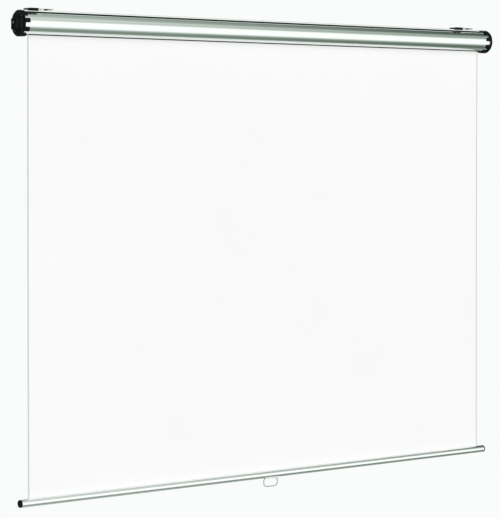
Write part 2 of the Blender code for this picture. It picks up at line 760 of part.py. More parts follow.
def make_sheet(white):
    """The turns left on the roller, the stretch down to the slot, and the hanging sheet."""
    roll = [circle(ROLL_RADIUS, LARGE_FACETS), circle(ROLL_BORE, LARGE_FACETS)]
    reach = (-SHEET_END, SHEET_END)
    turns = prism("fabric_roll", roll, *reach, white, at=ROLLER_AXIS)

    bend = Vector((SHEET_Y, guide_top() + LEAD_STEP))
    centre = Vector((ROLLER_Y, ROLLER_Z))
    leaves = ROLL_RADIUS + GAP + SHEET_THICKNESS / 2
    towards = centre - bend
    swing = math.asin(leaves / towards.length)
    length = math.sqrt(towards.length**2 - leaves**2)
    heading = math.atan2(towards.y, towards.x) + swing
    direction = Vector((math.cos(heading), math.sin(heading)))
    path = [
        bend + direction * length,
        bend + direction * LEAD_STEP,
        Vector((SHEET_Y, bend.y - LEAD_STEP / 2)),
        Vector((SHEET_Y, sheet_top() + GAP)),
    ]
    prism("sheet_lead", [strip(path, SHEET_THICKNESS)], *reach, white, at=CASE_AXIS)

    bottom = -BAR_DROP + BAR_RADIUS - BAR_WALL
    height = sheet_top() - bottom
    middle = (SHEET_Y, (sheet_top() + bottom) / 2)
    hanging = [box(SHEET_THICKNESS, height, middle)]
    prism("screen_sheet", hanging, *reach, white, at=CASE_AXIS)
    return turns


def bar_section():
    outer = half_angle(BAR_MOUTH / 2, BAR_RADIUS)
    inner = half_angle(BAR_MOUTH / 2, BAR_RADIUS - BAR_WALL)
    loop = arc(BAR_RADIUS, outer, 360 - outer, LARGE_FACETS)
    return loop + arc(BAR_RADIUS - BAR_WALL, 360 - inner, inner, LARGE_FACETS)


def make_bar(metal, black, steel, white, pale_plastic):
    """The bar, the rod in the sheet's hem, the end plugs, and the clip with its two screws."""
    bar = prism("bottom_bar", [bar_section()], -BAR_END, BAR_END, metal, at=BAR_AXIS)
    screw_places = (-CLIP_SCREW_SPACING / 2, CLIP_SCREW_SPACING / 2)
    hole_radius = CLIP_SCREW_RADIUS + GAP
    holes = [circle(hole_radius, SMALL_FACETS, (x, 0)) for x in screw_places]
    bar_holes = prism("bar_screw_holes", holes, -2 * BAR_RADIUS, 0, along="Z", at=BAR_AXIS)
    boolean(bar, bar_holes, "DIFFERENCE")

    rod_lift = BAR_RADIUS - BAR_WALL - GAP - HEM_ROD_RADIUS
    rod_axis = BAR_AXIS + Vector((0, 0, rod_lift))
    section = [circle(HEM_ROD_RADIUS, SMALL_FACETS)]
    rod = prism("hem_rod", section, -SHEET_END, SHEET_END, white, at=rod_axis)

    spigot = BAR_RADIUS - BAR_WALL - GAP
    edge = [
        (GAP + BAR_PLUG_FLANGE - BAR_PLUG_EDGE + z, BAR_RADIUS - BAR_PLUG_EDGE + r)
        for r, z in arc(BAR_PLUG_EDGE, 0, 90, SMALL_FACETS)
    ]
    profile = [
        (GAP + BAR_PLUG_FLANGE, 0),
        *edge,
        (GAP, BAR_RADIUS),
        (GAP, spigot),
        (-BAR_PLUG_SPIGOT, spigot),
        (-BAR_PLUG_SPIGOT, 0),
    ]
    moving = [bar, rod]
    for name, side in (("left", -1), ("right", 1)):
        end = BAR_AXIS + Vector((side * BAR_END, 0, 0))
        facing = "X" if side > 0 else "-X"
        moving.append(turned("bar_plug_" + name, profile, end, facing, black, MEDIUM_FACETS))

    clip = make_clip(pale_plastic, holes)
    profile = pan_head(CLIP_SCREW_HEAD, CLIP_SCREW_HEIGHT, CLIP_SCREW_RADIUS)
    shank = GAP + CLIP_FLOOR + 2 * BAR_WALL
    profile += [(-shank, CLIP_SCREW_RADIUS), (-shank, 0)]
    screw = turned("clip_screw", profile, (0, 0, 0), "-Z", facets=SCREW_FACETS)
    seat = BAR_AXIS - Vector((0, 0, BAR_RADIUS + GAP + CLIP_FLOOR))
    places = {}
    for name, x in zip(("left", "right"), screw_places):
        places["clip_screw_" + name] = Matrix.Translation(seat + Vector((x, 0, 0)))
    return [*moving, clip, *copies(screw, places, steel)]


def clip_end():
    """The clip's half length, just inside the handle's legs."""
    return HANDLE_WIDTH / 2 - 2 * HANDLE_WIRE - GAP


def make_clip(plastic, holes):
    inner = BAR_RADIUS + GAP
    start = 180 - CLIP_SPAN / 2
    end = 180 + CLIP_SPAN / 2
    flat = -inner - CLIP_FLOOR
    saddle = arc(inner, start, end, LARGE_FACETS)
    saddle += [on_circle(inner + CLIP_WALL, end), (-CLIP_FLAT / 2, flat)]
    saddle += [(CLIP_FLAT / 2, flat), on_circle(inner + CLIP_WALL, start)]
    clip = prism("handle_clip", [saddle], -clip_end(), clip_end(), plastic, at=BAR_AXIS)

    pivot = -(BAR_RADIUS + PIVOT_DROP)
    top = -inner - LUG_ROOT
    lug = arc(LUG_RADIUS, 90, 270, MEDIUM_FACETS, (0, pivot))
    lug += [(-LUG_RADIUS, top), (LUG_RADIUS, top)]
    hole = circle(HANDLE_WIRE + GAP, MEDIUM_FACETS, (0, pivot))
    for name, side in (("left", -1), ("right", 1)):
        reach = span(side, clip_end() - LUG_THICKNESS, clip_end() - GAP)
        ear = prism("clip_lug_" + name, [without_repeats(lug)], *reach, at=BAR_AXIS)
        boolean(clip, ear, "UNION")
    pivot_hole = prism("clip_pivot_hole", [hole], -HANDLE_WIDTH, HANDLE_WIDTH, at=BAR_AXIS)
    boolean(clip, pivot_hole, "DIFFERENCE")
    drilled = prism("clip_screw_holes", holes, -2 * BAR_RADIUS, 0, along="Z", at=BAR_AXIS)
    boolean(clip, drilled, "DIFFERENCE")
    return clip


def make_handle(plastic):
    """A stirrup of round rod, whose ends turn in and sit in the clip's lugs."""
    side = HANDLE_WIDTH / 2 - HANDLE_WIRE
    bottom = PIVOT_DROP + HANDLE_WIRE - HANDLE_DROP
    inner_end = clip_end() - LUG_THICKNESS + GAP
    right = [(inner_end, 0)]
    elbow = (side - HANDLE_ELBOW, -HANDLE_ELBOW)
    right += arc(HANDLE_ELBOW, 0, 90, SMALL_FACETS, elbow)
    corner = (side - HANDLE_CORNER, bottom + HANDLE_CORNER)
    right += arc(HANDLE_CORNER, 90, 180, MEDIUM_FACETS, corner)
    path = right + mirrored(right)
    curve = bpy.data.curves.new("pull_handle", "CURVE")
    curve.dimensions = "3D"
    curve.bevel_depth = HANDLE_WIRE
    curve.bevel_resolution = 2
    curve.use_fill_caps = True
    spline = curve.splines.new("POLY")
    spline.points.add(len(path) - 1)
    for point, (x, z) in zip(spline.points, path):
        point.co = (x, 0, z, 1)
    drawn = bpy.data.objects.new("pull_handle_path", curve)
    bpy.context.scene.collection.objects.link(drawn)
    drawn.matrix_world = Matrix.Translation(HANDLE_PIVOT)
    return settle(drawn, "pull_handle", plastic)


def make_bracket(side, zinc, black, steel):
    """One bracket: a ceiling plate in a block astride the rail, a foot in the rail, and a lock lever."""
    name = "bracket_" + side + "_"
    start = BRACKET_PLACES[side] - PLATE_LENGTH / 2
    block = start + BLOCK_LENGTH / 2
    lever = start + LEVER_PLACE
    plate_top = -PAD_RISE
    plate_bottom = plate_top - PLATE_THICKNESS
    block_top = plate_bottom - GAP
    block_bottom = block_top - BLOCK_HEIGHT
    studs = [block - STUD_SPACING / 2, block + STUD_SPACING / 2]
    stud_holes = [circle(STUD_RADIUS + GAP, SMALL_FACETS, (x, 0)) for x in studs]

    middle = (BRACKET_PLACES[side], 0)
    sheet = [
        rounded_box(PLATE_LENGTH, PLATE_WIDTH, PLATE_CORNER, middle),
        circle(LOCATING_HOLE, SMALL_FACETS, (start + LOCATING_HOLE_PLACE, 0)),
    ]
    plate = prism(name + "plate", sheet, plate_bottom, plate_top, zinc, "Z")
    pad_loop = [circle(PAD_RADIUS, LARGE_FACETS, (block, 0))]
    pad = prism(name + "pad", pad_loop, plate_top - PLATE_THICKNESS / 2, 0, along="Z")
    boolean(plate, pad, "UNION")
    holes = [circle(CEILING_HOLE, MEDIUM_FACETS, (block, 0)), *stud_holes]
    reach = (plate_bottom - CAP_OVERLAP, CAP_OVERLAP)
    boolean(plate, prism(name + "plate_holes", holes, *reach, along="Z"), "DIFFERENCE")

    driver = circle(DRIVER_HOLE, MEDIUM_FACETS, (block, 0))
    outline = rounded_box(BLOCK_LENGTH, BLOCK_WIDTH, BLOCK_CORNER, (block, 0))
    loops = [outline, driver, *stud_holes]
    saddle = prism(name + "block", loops, block_bottom - SKIRT_DEPTH, plate_top, black, "Z")
    reach = (start - CAP_OVERLAP, start + BLOCK_LENGTH + CAP_OVERLAP)
    rail = box(RAIL_WIDTH + 2 * GAP, 2 * SKIRT_DEPTH, (0, block_bottom - SKIRT_DEPTH))
    boolean(saddle, prism(name + "rail_room", [rail], *reach), "DIFFERENCE")
    seat = box(PLATE_WIDTH + 2 * GAP, 2 * (plate_top - block_top), (0, plate_top))
    boolean(saddle, prism(name + "plate_room", [seat], *reach), "DIFFERENCE")

    adjuster_z = block_top - BLOCK_HEIGHT / 2
    face = start + BLOCK_LENGTH
    bore = circle(ADJUSTER_SHANK + GAP, SMALL_FACETS)
    bore_y = (STUD_RADIUS + BLOCK_WIDTH / 2) / 2
    at = (0, -bore_y, adjuster_z)
    reach = (face - ADJUSTER_DEPTH - GAP, face + CAP_OVERLAP)
    boolean(saddle, prism(name + "adjuster_bore", [bore], *reach, at=at), "DIFFERENCE")
    profile = [
        (ADJUSTER_LENGTH, 0),
        (ADJUSTER_LENGTH, ADJUSTER_RADIUS),
        (GAP, ADJUSTER_RADIUS),
        (GAP, ADJUSTER_SHANK),
        (-ADJUSTER_DEPTH, ADJUSTER_SHANK),
        (-ADJUSTER_DEPTH, 0),
    ]
    seat = (face, -bore_y, adjuster_z)
    adjuster = turned(name + "adjuster", profile, seat, "X", steel, SMALL_FACETS)

    foot_low = CASE_Z + CHAMBER_FLOOR + GAP
    shoulder = RAIL_TOP_Z - RAIL_LIP - GAP
    wide = RAIL_CHAMBER / 2 - GAP
    neck = RAIL_MOUTH / 2 - GAP
    half = [(wide, foot_low), (wide, shoulder), (neck, shoulder), (neck, RAIL_TOP_Z)]
    foot = prism(name + "foot", [half + mirrored(half)], start, start + FOOT_LENGTH, steel)
    pin_hole = circle(LEVER_PIN_RADIUS + GAP, SMALL_FACETS, (lever, 0))
    foot_holes = [driver, *stud_holes, pin_hole]
    reach = (foot_low - CAP_OVERLAP, RAIL_TOP_Z + CAP_OVERLAP)
    boolean(foot, prism(name + "foot_holes", foot_holes, *reach, along="Z"), "DIFFERENCE")

    sliding = [plate, saddle, adjuster, foot]
    for number, x in enumerate(studs, 1):
        stud = [circle(STUD_RADIUS, SMALL_FACETS, (x, 0))]
        reach = (foot_low, plate_top - GAP)
        sliding.append(prism(f"{name}stud_{number}", stud, *reach, steel, "Z"))
    pin_loop = [circle(LEVER_PIN_RADIUS, SMALL_FACETS, (lever, 0))]
    reach = (foot_low, plate_bottom - GAP)
    sliding.append(prism(name + "lever_pin", pin_loop, *reach, steel, "Z"))
    rest = Vector((BRACKET_PLACES[side], 0, RAIL_TOP_Z))
    bracket = carrier(name + "slide", rest, *sliding)

    handle = make_lever("lever_" + side, lever, plate_bottom, black)
    pivot = carrier("lever_" + side + "_pivot", Vector((lever, 0, RAIL_TOP_Z)), handle)
    pivot.parent = bracket
    pivot.matrix_parent_inverse = Matrix.Translation(rest).inverted()


def make_lever(name, x, plate_bottom, black):
    """A lock lever: a tapered cam round the pin, with a flat arm at its top."""
    top = plate_bottom - LEVER_CLEARANCE
    foot = RAIL_TOP_Z + LEVER_CLEARANCE
    bore = LEVER_PIN_RADIUS + GAP
    arm_low = top - LEVER_ARM_THICKNESS
    profile = [
        (top, bore),
        (top, LEVER_TOP),
        (arm_low, LEVER_TOP),
        (foot, LEVER_FOOT),
        (foot, bore),
    ]
    cam = turned(name, profile, (x, 0, 0), "Z", black, MEDIUM_FACETS, ring=True)
    inner = LEVER_PIN_RADIUS + GAP + (LEVER_TOP - LEVER_PIN_RADIUS) / 2
    root = [(x + inner, -LEVER_ARM_WIDTH / 2), (x + inner, LEVER_ARM_WIDTH / 2)]
    tip = arc(LEVER_ARM_TIP / 2, 0, 180, SMALL_FACETS, (x + LEVER_ARM - LEVER_ARM_TIP / 2, 0))
    reach = (arm_low + LEVER_ARM_INSET, top - LEVER_ARM_INSET)
    arm = prism(name + "_arm", [root + tip], *reach, along="Z")
    boolean(cam, arm, "UNION")
    return cam


def main():
    clear_scene()
    new_collection("projector_screen", True)
    new_collection("cutters", False)
    anodised = finish("anodised_aluminium", (0.66, 0.70, 0.67), 0.25, 1)
    roller_metal = finish("roller_aluminium", (0.60, 0.61, 0.62), 0.45, 1)
    steel = finish("bright_steel", (0.62, 0.62, 0.63), 0.30, 1)
    spring_steel = finish("spring_steel", (0.33, 0.34, 0.36), 0.40, 1)
    zinc = finish("zinc_plate", (0.72, 0.73, 0.74), 0.28, 1)
    dark_steel = finish("black_steel", (0.05, 0.05, 0.06), 0.40, 1)
    black = finish("black_plastic", (0.012, 0.016, 0.016), 0.45, 0)
    grey = finish("grey_nylon", (0.42, 0.43, 0.44), 0.50, 0)
    white = finish("white_fabric", (0.92, 0.93, 0.93), 0.85, 0)
    pale_plastic = finish("pale_plastic", (0.78, 0.79, 0.79), 0.35, 0)

    make_case(anodised, black)
    make_end_caps(black, dark_steel)
    turning = make_roller(roller_metal, steel, grey)
    make_spring_motor(steel, grey, spring_steel)
    turning += make_pawls(steel)
    turning.append(make_sheet(white))
    roller = carrier("roller_axis", ROLLER_AXIS, *turning)
    for side in ("upper", "lower"):
        pivot = bpy.data.objects["pawl_" + side + "_pivot"]
        pivot.parent = roller
        pivot.matrix_parent_inverse = Matrix.Translation(ROLLER_AXIS).inverted()
    hanging = make_bar(anodised, black, steel, white, pale_plastic)
    bar = carrier("bar_slide", BAR_AXIS, *hanging)
    handle = carrier("handle_pivot", HANDLE_PIVOT, make_handle(pale_plastic))
    handle.parent = bar
    handle.matrix_parent_inverse = Matrix.Translation(BAR_AXIS).inverted()
    for side in BRACKET_PLACES:
        make_bracket(side, zinc, black, steel)


main()
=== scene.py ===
"""The pull-down projector screen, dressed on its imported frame.

A round aluminium case hangs from two sliding brackets. A white sheet comes down through its slot
and ends in a round bottom bar with a pull handle. Each sub-assembly is a class that builds its
pieces and gives them their finishes. All lengths are in metres.
"""

import functools
import json
import logging
import math
from collections.abc import Callable, Iterable, Sequence
from dataclasses import dataclass
from enum import Enum
from typing import Self

import bmesh
import bpy
from mathutils import Matrix, Vector


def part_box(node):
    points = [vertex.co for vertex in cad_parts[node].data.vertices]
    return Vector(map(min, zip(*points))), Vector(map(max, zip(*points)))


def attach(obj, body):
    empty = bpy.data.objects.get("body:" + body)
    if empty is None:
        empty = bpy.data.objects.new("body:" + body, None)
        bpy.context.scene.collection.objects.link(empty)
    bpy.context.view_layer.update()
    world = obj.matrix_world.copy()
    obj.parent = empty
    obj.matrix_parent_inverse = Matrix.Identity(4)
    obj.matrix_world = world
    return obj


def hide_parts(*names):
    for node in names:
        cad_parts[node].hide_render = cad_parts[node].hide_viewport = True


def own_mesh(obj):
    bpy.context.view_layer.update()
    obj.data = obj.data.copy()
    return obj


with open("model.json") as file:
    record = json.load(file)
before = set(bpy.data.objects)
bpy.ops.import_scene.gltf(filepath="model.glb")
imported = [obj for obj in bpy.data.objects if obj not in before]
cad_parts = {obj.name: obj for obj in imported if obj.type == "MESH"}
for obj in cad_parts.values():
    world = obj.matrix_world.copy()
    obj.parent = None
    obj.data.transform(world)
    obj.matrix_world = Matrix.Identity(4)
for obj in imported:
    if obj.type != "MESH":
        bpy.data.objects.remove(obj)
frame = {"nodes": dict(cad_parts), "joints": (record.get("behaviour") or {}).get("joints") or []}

MM = 0.001
# The clearance between neighbours, and the distance under which two points are one.
GAP = 0.3 * MM
WELD = 0.001 * MM
# Edges that turn further than this, in degrees, stay sharp.
SHARP_ANGLE = 33
# The share of a side that a rounded corner may take up.
FILLET_SHARE = 0.48
# How far a drill goes past both faces.
DRILL_MARGIN = 1 * MM
# The part of a noise's range that its values fill.
NOISE_SPAN = (0.3, 0.7)
CLOTH_UV = "cloth"
DEPTH, HEIGHT = 1, 2

Point = tuple[float, float]
Span = tuple[float, float]
Loop = list[Point]
Corner = tuple[float, float, float]
Colour = tuple[float, float, float]
# How many grains a pattern has to the metre along each axis.
Grain = tuple[float, float, float]
Mesh = bpy.types.Mesh
Socket = bpy.types.NodeSocket
log = logging.getLogger("projector_screen")


class Side(Enum):
    """The two ends of the screen."""

    LEFT = "left"
    RIGHT = "right"

    @property
    def sign(self) -> int:
        """-1 at the left end and 1 at the right one."""
        return -1 if self is Side.LEFT else 1

    @property
    def outward(self) -> "Facing":
        """The direction that points out of this end."""
        return Facing.LEFT if self is Side.LEFT else Facing.RIGHT

    def span(self, near: float, far: float) -> Span:
        """The stretch between two distances from the middle, on this side of it."""
        low, high = sorted((self.sign * near, self.sign * far))
        return low, high


class Facing(Enum):
    """The direction that a section is drawn out in, or that a turned piece points to."""

    RIGHT = "+X"
    LEFT = "-X"
    UP = "+Z"

    @property
    def turn(self) -> Matrix:
        """The matrix that takes a section's across, up and along to the object's axes.

        Returns:
            The turn as a matrix of four rows.
        """
        if self is Facing.RIGHT:
            return Matrix(((0, 0, 1), (1, 0, 0), (0, 1, 0))).to_4x4()
        if self is Facing.LEFT:
            return Matrix(((0, 0, -1), (-1, 0, 0), (0, 1, 0))).to_4x4()
        return Matrix.Identity(4)


def on_circle(radius: float, degrees: float, centre: Point = (0, 0)) -> Point:
    """A point at an angle from straight up, towards the back."""
    turn = math.radians(degrees)
    return centre[0] + radius * math.sin(turn), centre[1] + radius * math.cos(turn)


def arc(
    radius: float,
    start: float,
    end: float,
    facets: int = 180,
    centre: Point = (0, 0),
) -> Loop:
    """Points along a circle.

    Args:
        radius: The circle's radius.
        start: The first point's angle in degrees, from straight up towards the back.
        end: The last point's angle.
        facets: Straight pieces in a full turn.
        centre: The circle's middle, across and up.

    Returns:
        The points from start to end, both included.
    """
    count = max(1, round(abs(end - start) / 360 * facets))
    return [on_circle(radius, start + (end - start) * i / count, centre) for i in range(count + 1)]


def circle(radius: float, facets: int, centre: Point = (0, 0)) -> Loop:
    """The outline of a round hole or rod."""
    return arc(radius, 0, 360, facets, centre)[:-1]


def box(width: float, height: float, centre: Point = (0, 0)) -> Loop:
    """A rectangle from its lower left corner on.

    Args:
        width: Its size across.
        height: Its size upwards.
        centre: Its middle, across and up.

    Returns:
        The four corners.
    """
    y, z = centre
    corners = ((-1, -1), (1, -1), (1, 1), (-1, 1))
    return [(y + side * width / 2, z + up * height / 2) for side, up in corners]


def with_ends(loop: Iterable[Point], first: float = 0, last: float = 0) -> list[Corner]:
    """Marks a line's points, which stay as they are apart from its two ends.

    Args:
        loop: The line's points.
        first: The radius that its first point gets.
        last: The radius that its last point gets.

    Returns:
        The points with their radii.
    """
    corners: list[Corner] = [(y, z, 0) for y, z in loop]
    corners[0] = (*corners[0][:2], first)
    corners[-1] = (*corners[-1][:2], last)
    return corners


def mirrored(corners: Sequence[tuple[float, ...]]) -> list:
    """The other half of an outline that is the same on both sides."""
    return [(-corner[0], *corner[1:]) for corner in reversed(corners)]


def filleted(corners: Sequence[Corner], steps: int = 4) -> Loop:
    """Rounds the corners of a closed outline.

    Args:
        corners: Across, up, and the corner's own radius, 0 where it stays sharp.
        steps: Straight pieces in each rounded corner.

    Returns:
        The outline's points in the same order.
    """
    loop: Loop = []
    for index, (y, z, radius) in enumerate(corners):
        here = Vector((y, z))
        before = Vector(corners[index - 1][:2]) - here
        after = Vector(corners[(index + 1) % len(corners)][:2]) - here
        if radius == 0 or min(before.length, after.length) < WELD:
            loop.append((y, z))
            continue
        half = before.angle(after) / 2
        longest = min(before.length * FILLET_SHARE, after.length * FILLET_SHARE)
        reach = min(radius / math.tan(half), longest)
        inward = (before.normalized() + after.normalized()).normalized()
        centre = here + inward * (reach / math.cos(half))
        first = here + before.normalized() * reach - centre
        last = here + after.normalized() * reach - centre
        for step in range(steps + 1):
            spoke = first.lerp(last, step / steps).normalized() * first.length
            loop.append(tuple(centre + spoke))
    return loop


def rounded_box(width: float, height: float, corner: float, centre: Point = (0, 0)) -> Loop:
    """A rectangle with round corners."""
    return filleted([(y, z, corner) for y, z in box(width, height, centre)], steps=8)


def soft_rim(top: float, radius: float, edge: float) -> Loop:
    """The broken edge of a turned piece's top, as heights and radii."""
    inset = edge * 0.3
    return [(top, radius - edge), (top - inset, radius - inset), (top - edge, radius)]


def half_angle(half_width: float, radius: float) -> float:
    """Half the angle in degrees that a flat of this half width takes up on a circle."""
    return math.degrees(math.asin(half_width / radius))


def rim_edge(top: float, radius: float, edge: float) -> Loop:
    """The quarter round from a disc's top to its rim, as heights and radii."""
    return [(top - edge + z, radius - edge + r) for r, z in arc(edge, 0, 90, facets=32)]


def lathed(profile: Loop, facets: int, ring: bool = False) -> Mesh:
    """Turns a profile about the up axis.

    Args:
        profile: Heights and radii down the outer side, and back up the bore of a ring.
        facets: Flat faces round a full turn.
        ring: Whether the profile closes on itself and leaves a bore.

    Returns:
        The closed mesh.
    """
    points: list[tuple[float, float, float]] = []
    rows: list[list[int]] = []
    for height, radius in profile:
        first = len(points)
        count = facets if radius > WELD else 1
        for i in range(count):
            y, z = on_circle(radius, 360 * i / facets)
            points.append((y, z, height))
        rows.append([first + i % count for i in range(facets)])
    faces = []
    following = rows[1:] + rows[:1] if ring else rows[1:]
    for upper, lower in zip(rows, following):
        for i in range(facets):
            after = (i + 1) % facets
            corners = [upper[i], lower[i], lower[after], upper[after]]
            face = list(dict.fromkeys(corners))
            if len(face) > 2:
                faces.append(face)
    mesh = bpy.data.meshes.new("lathed")
    mesh.from_pydata(points, [], faces)
    return mesh


class Graph:
    """Short calls for building a node tree."""

    def __init__(self, tree: bpy.types.NodeTree) -> None:
        """Takes the tree that the nodes go into."""
        self.tree = tree

    def add(self, kind: str, inputs: dict | None = None, **settings: object) -> bpy.types.Node:
        """Adds one node.

        Args:
            kind: The node's type.
            inputs: Each input's value, or the socket or sockets that feed it.
            settings: The node's own properties.

        Returns:
            The new node.
        """
        node = self.tree.nodes.new(kind)
        for name, value in settings.items():
            setattr(node, name, value)
        for key, value in (inputs or {}).items():
            for source in value if isinstance(value, list) else [value]:
                if isinstance(source, Socket):
                    self.tree.links.new(source, node.inputs[key])
                else:
                    node.inputs[key].default_value = source
        return node

    def sum(self, operation: str, *values: object) -> Socket:
        """A Math node's result for the values."""
        return self.add("ShaderNodeMath", dict(enumerate(values)), operation=operation).outputs[0]

    def ranged(self, value: Socket, source: Span, target: Span) -> Socket:
        """Takes a value from one range to another and keeps it there.

        Args:
            value: The socket that gives the value.
            source: The range that it is in.
            target: The range that it gets.

        Returns:
            The result's socket.
        """
        names = ("From Min", "From Max", "To Min", "To Max")
        inputs = {"Value": value, **dict(zip(names, (*source, *target)))}
        return self.add("ShaderNodeMapRange", inputs).outputs[0]

    def blend(self, share: Socket, first: object, second: object) -> Socket:
        """A colour between two others.

        Args:
            share: The share of the second colour.
            first: A colour or its socket.
            second: Another colour or its socket.

        Returns:
            The colour's socket.
        """
        # Inputs 6 and 7 and output 2 are the node's colour sockets.
        inputs = {0: share, 6: first, 7: second}
        return self.add("ShaderNodeMix", inputs, data_type="RGBA").outputs[2]

    def noise(self, at: Socket, scale: Grain, detail: float) -> Socket:
        """Noise with its own count of grains to the metre along each axis.

        Args:
            at: The place on the surface.
            scale: Grains to the metre along each axis.
            detail: How many finer layers it has.

        Returns:
            The noise's socket.
        """
        spread = self.add("ShaderNodeMapping", {"Vector": at, "Scale": scale}).outputs[0]
        inputs = {"Vector": spread, "Scale": 1, "Detail": detail, "Roughness": 0.6}
        return self.add("ShaderNodeTexNoise", inputs).outputs[0]

    def weighed(self, first: Socket, second: Socket, share: float) -> Socket:
        """Two patterns in one, of which the first has this share."""
        rest = self.sum("MULTIPLY", second, 1 - share)
        return self.sum("MULTIPLY_ADD", first, share, rest)


class Recipe:
    """A Geometry Nodes tree with named inputs that ends in real, painted geometry."""

    def __init__(self, name: str, inputs: dict[str, str]) -> None:
        """Starts a tree.

        Args:
            name: The tree's name.
            inputs: The kind of each named input.
        """
        self.tree = bpy.data.node_groups.new(name, "GeometryNodeTree")
        sockets = {"Geometry": "Geometry", **inputs, "Finish": "Material"}
        for label, kind in sockets.items():
            self.tree.interface.new_socket(label, in_out="INPUT", socket_type="NodeSocket" + kind)
        result = {"in_out": "OUTPUT", "socket_type": "NodeSocketGeometry"}
        self.tree.interface.new_socket("Geometry", **result)
        self.graph = Graph(self.tree)
        self.given = self.graph.add("NodeGroupInput").outputs

    def end(self, geometry: Socket) -> Self:
        """Closes the tree: smooth shading, real instances, and the finish.

        Args:
            geometry: What the tree has made.

        Returns:
            The finished recipe.
        """
        smooth = self.graph.add("GeometryNodeSetShadeSmooth", {0: geometry}).outputs[0]
        whole = self.graph.add("GeometryNodeRealizeInstances", {0: smooth}).outputs[0]
        painted = {"Geometry": whole, "Material": self.given["Finish"]}
        finished = self.graph.add("GeometryNodeSetMaterial", painted).outputs[0]
        self.graph.add("NodeGroupOutput", {0: finished})
        return self

    def sweep(self, path: Socket, radius: str) -> Self:
        """Closes the tree with a round section that runs along a path.

        Args:
            path: The curve that the section follows.
            radius: The name of the input that holds the section's radius.

        Returns:
            The finished recipe.
        """
        size = {"Resolution": self.given["Sides"], "Radius": self.given[radius]}
        section = self.graph.add("GeometryNodeCurvePrimitiveCircle", size).outputs[0]
        drawn = {"Curve": path, "Profile Curve": section, "Fill Caps": True}
        return self.end(self.graph.add("GeometryNodeCurveToMesh", drawn).outputs[0])

    def make(self, host: Mesh, values: dict, finish: "Finish | None" = None) -> Mesh:
        """Runs the tree once.

        Args:
            host: The mesh that the tree starts from.
            values: Each named input's value.
            finish: The finish that the result gets.

        Returns:
            The result as a plain mesh.
        """
        drawn = draft(host)
        modifier = drawn.modifiers.new(self.tree.name, "NODES")
        modifier.node_group = self.tree
        for item in self.tree.interface.items_tree:
            if item.in_out == "INPUT" and item.name in values:
                modifier[item.identifier] = values[item.name]
            elif item.name == "Finish" and finish:
                modifier[item.identifier] = finish.material()
        return evaluated(drawn)


@functools.cache
def extrusion() -> Recipe:
    """Draws closed outlines out to a solid of one length.

    Returns:
        The recipe.
    """
    recipe = Recipe("extrusion", {"Length": "Float"})
    add = recipe.graph.add
    outline = add("GeometryNodeMeshToCurve", {"Mesh": recipe.given["Geometry"]}).outputs[0]
    lid = add("GeometryNodeFillCurve", {"Curve": outline}, mode="TRIANGLES").outputs[0]
    along = add("ShaderNodeCombineXYZ", {"Z": 1.0}).outputs[0]
    drawn = {"Mesh": lid, "Offset": along, "Offset Scale": recipe.given["Length"]}
    walls = add("GeometryNodeExtrudeMesh", {**drawn, "Individual": False}).outputs[0]
    floor = add("GeometryNodeFlipFaces", {"Mesh": lid}).outputs[0]
    whole = add("GeometryNodeJoinGeometry", {"Geometry": [walls, floor]}).outputs[0]
    merged = add("GeometryNodeMergeByDistance", {"Geometry": whole, "Distance": WELD})
    return recipe.end(merged.outputs[0])


@functools.cache
def rod() -> Recipe:
    """Runs a round rod along a path.

    Returns:
        The recipe.
    """
    recipe = Recipe("rod", {"Radius": "Float", "Sides": "Int"})
    path = recipe.graph.add("GeometryNodeMeshToCurve", {"Mesh": recipe.given["Geometry"]})
    return recipe.sweep(path.outputs[0], "Radius")


@functools.cache
def coil() -> Recipe:
    """Winds a spring, or a thread's ridge, about the up axis.

    Returns:
        The recipe.
    """
    kinds = {"Radius": "Float", "Length": "Float", "Turns": "Float", "Points": "Int"}
    recipe = Recipe("coil", {**kinds, "Wire": "Float", "Sides": "Int"})
    given = recipe.given
    size = {
        "Resolution": given["Points"],
        "Rotations": given["Turns"],
        "Start Radius": given["Radius"],
        "End Radius": given["Radius"],
        "Height": given["Length"],
    }
    path = recipe.graph.add("GeometryNodeCurveSpiral", size).outputs[0]
    return recipe.sweep(path, "Wire")


@functools.cache
def fasteners() -> Recipe:
    """Sets a screw on each point, along the point's own facing and turned at random.

    Returns:
        The recipe.
    """
    recipe = Recipe("fasteners", {"Screw": "Object", "Seed": "Int"})
    add = recipe.graph.add
    facing = add("GeometryNodeInputNamedAttribute", {"Name": "facing"}, data_type="FLOAT_VECTOR")
    upright = add("FunctionNodeAlignRotationToVector", {"Vector": facing.outputs[0]}, axis="Z")
    # Inputs 2 and 3 and output 1 are the node's number sockets, and input 8 is the seed.
    spin_range = {2: 0.0, 3: math.tau, 8: recipe.given["Seed"]}
    spin = add("FunctionNodeRandomValue", spin_range, data_type="FLOAT").outputs[1]
    euler = add("ShaderNodeCombineXYZ", {"Z": spin}).outputs[0]
    turn = add("FunctionNodeEulerToRotation", {0: euler}).outputs[0]
    both = {"Rotation": upright.outputs[0], "Rotate By": turn}
    rotation = add("FunctionNodeRotateRotation", both, rotation_space="LOCAL").outputs[0]
    screw = add("GeometryNodeObjectInfo", {"Object": recipe.given["Screw"]}).outputs["Geometry"]
    set_on = {"Points": recipe.given["Geometry"], "Instance": screw, "Rotation": rotation}
    return recipe.end(add("GeometryNodeInstanceOnPoints", set_on).outputs[0])


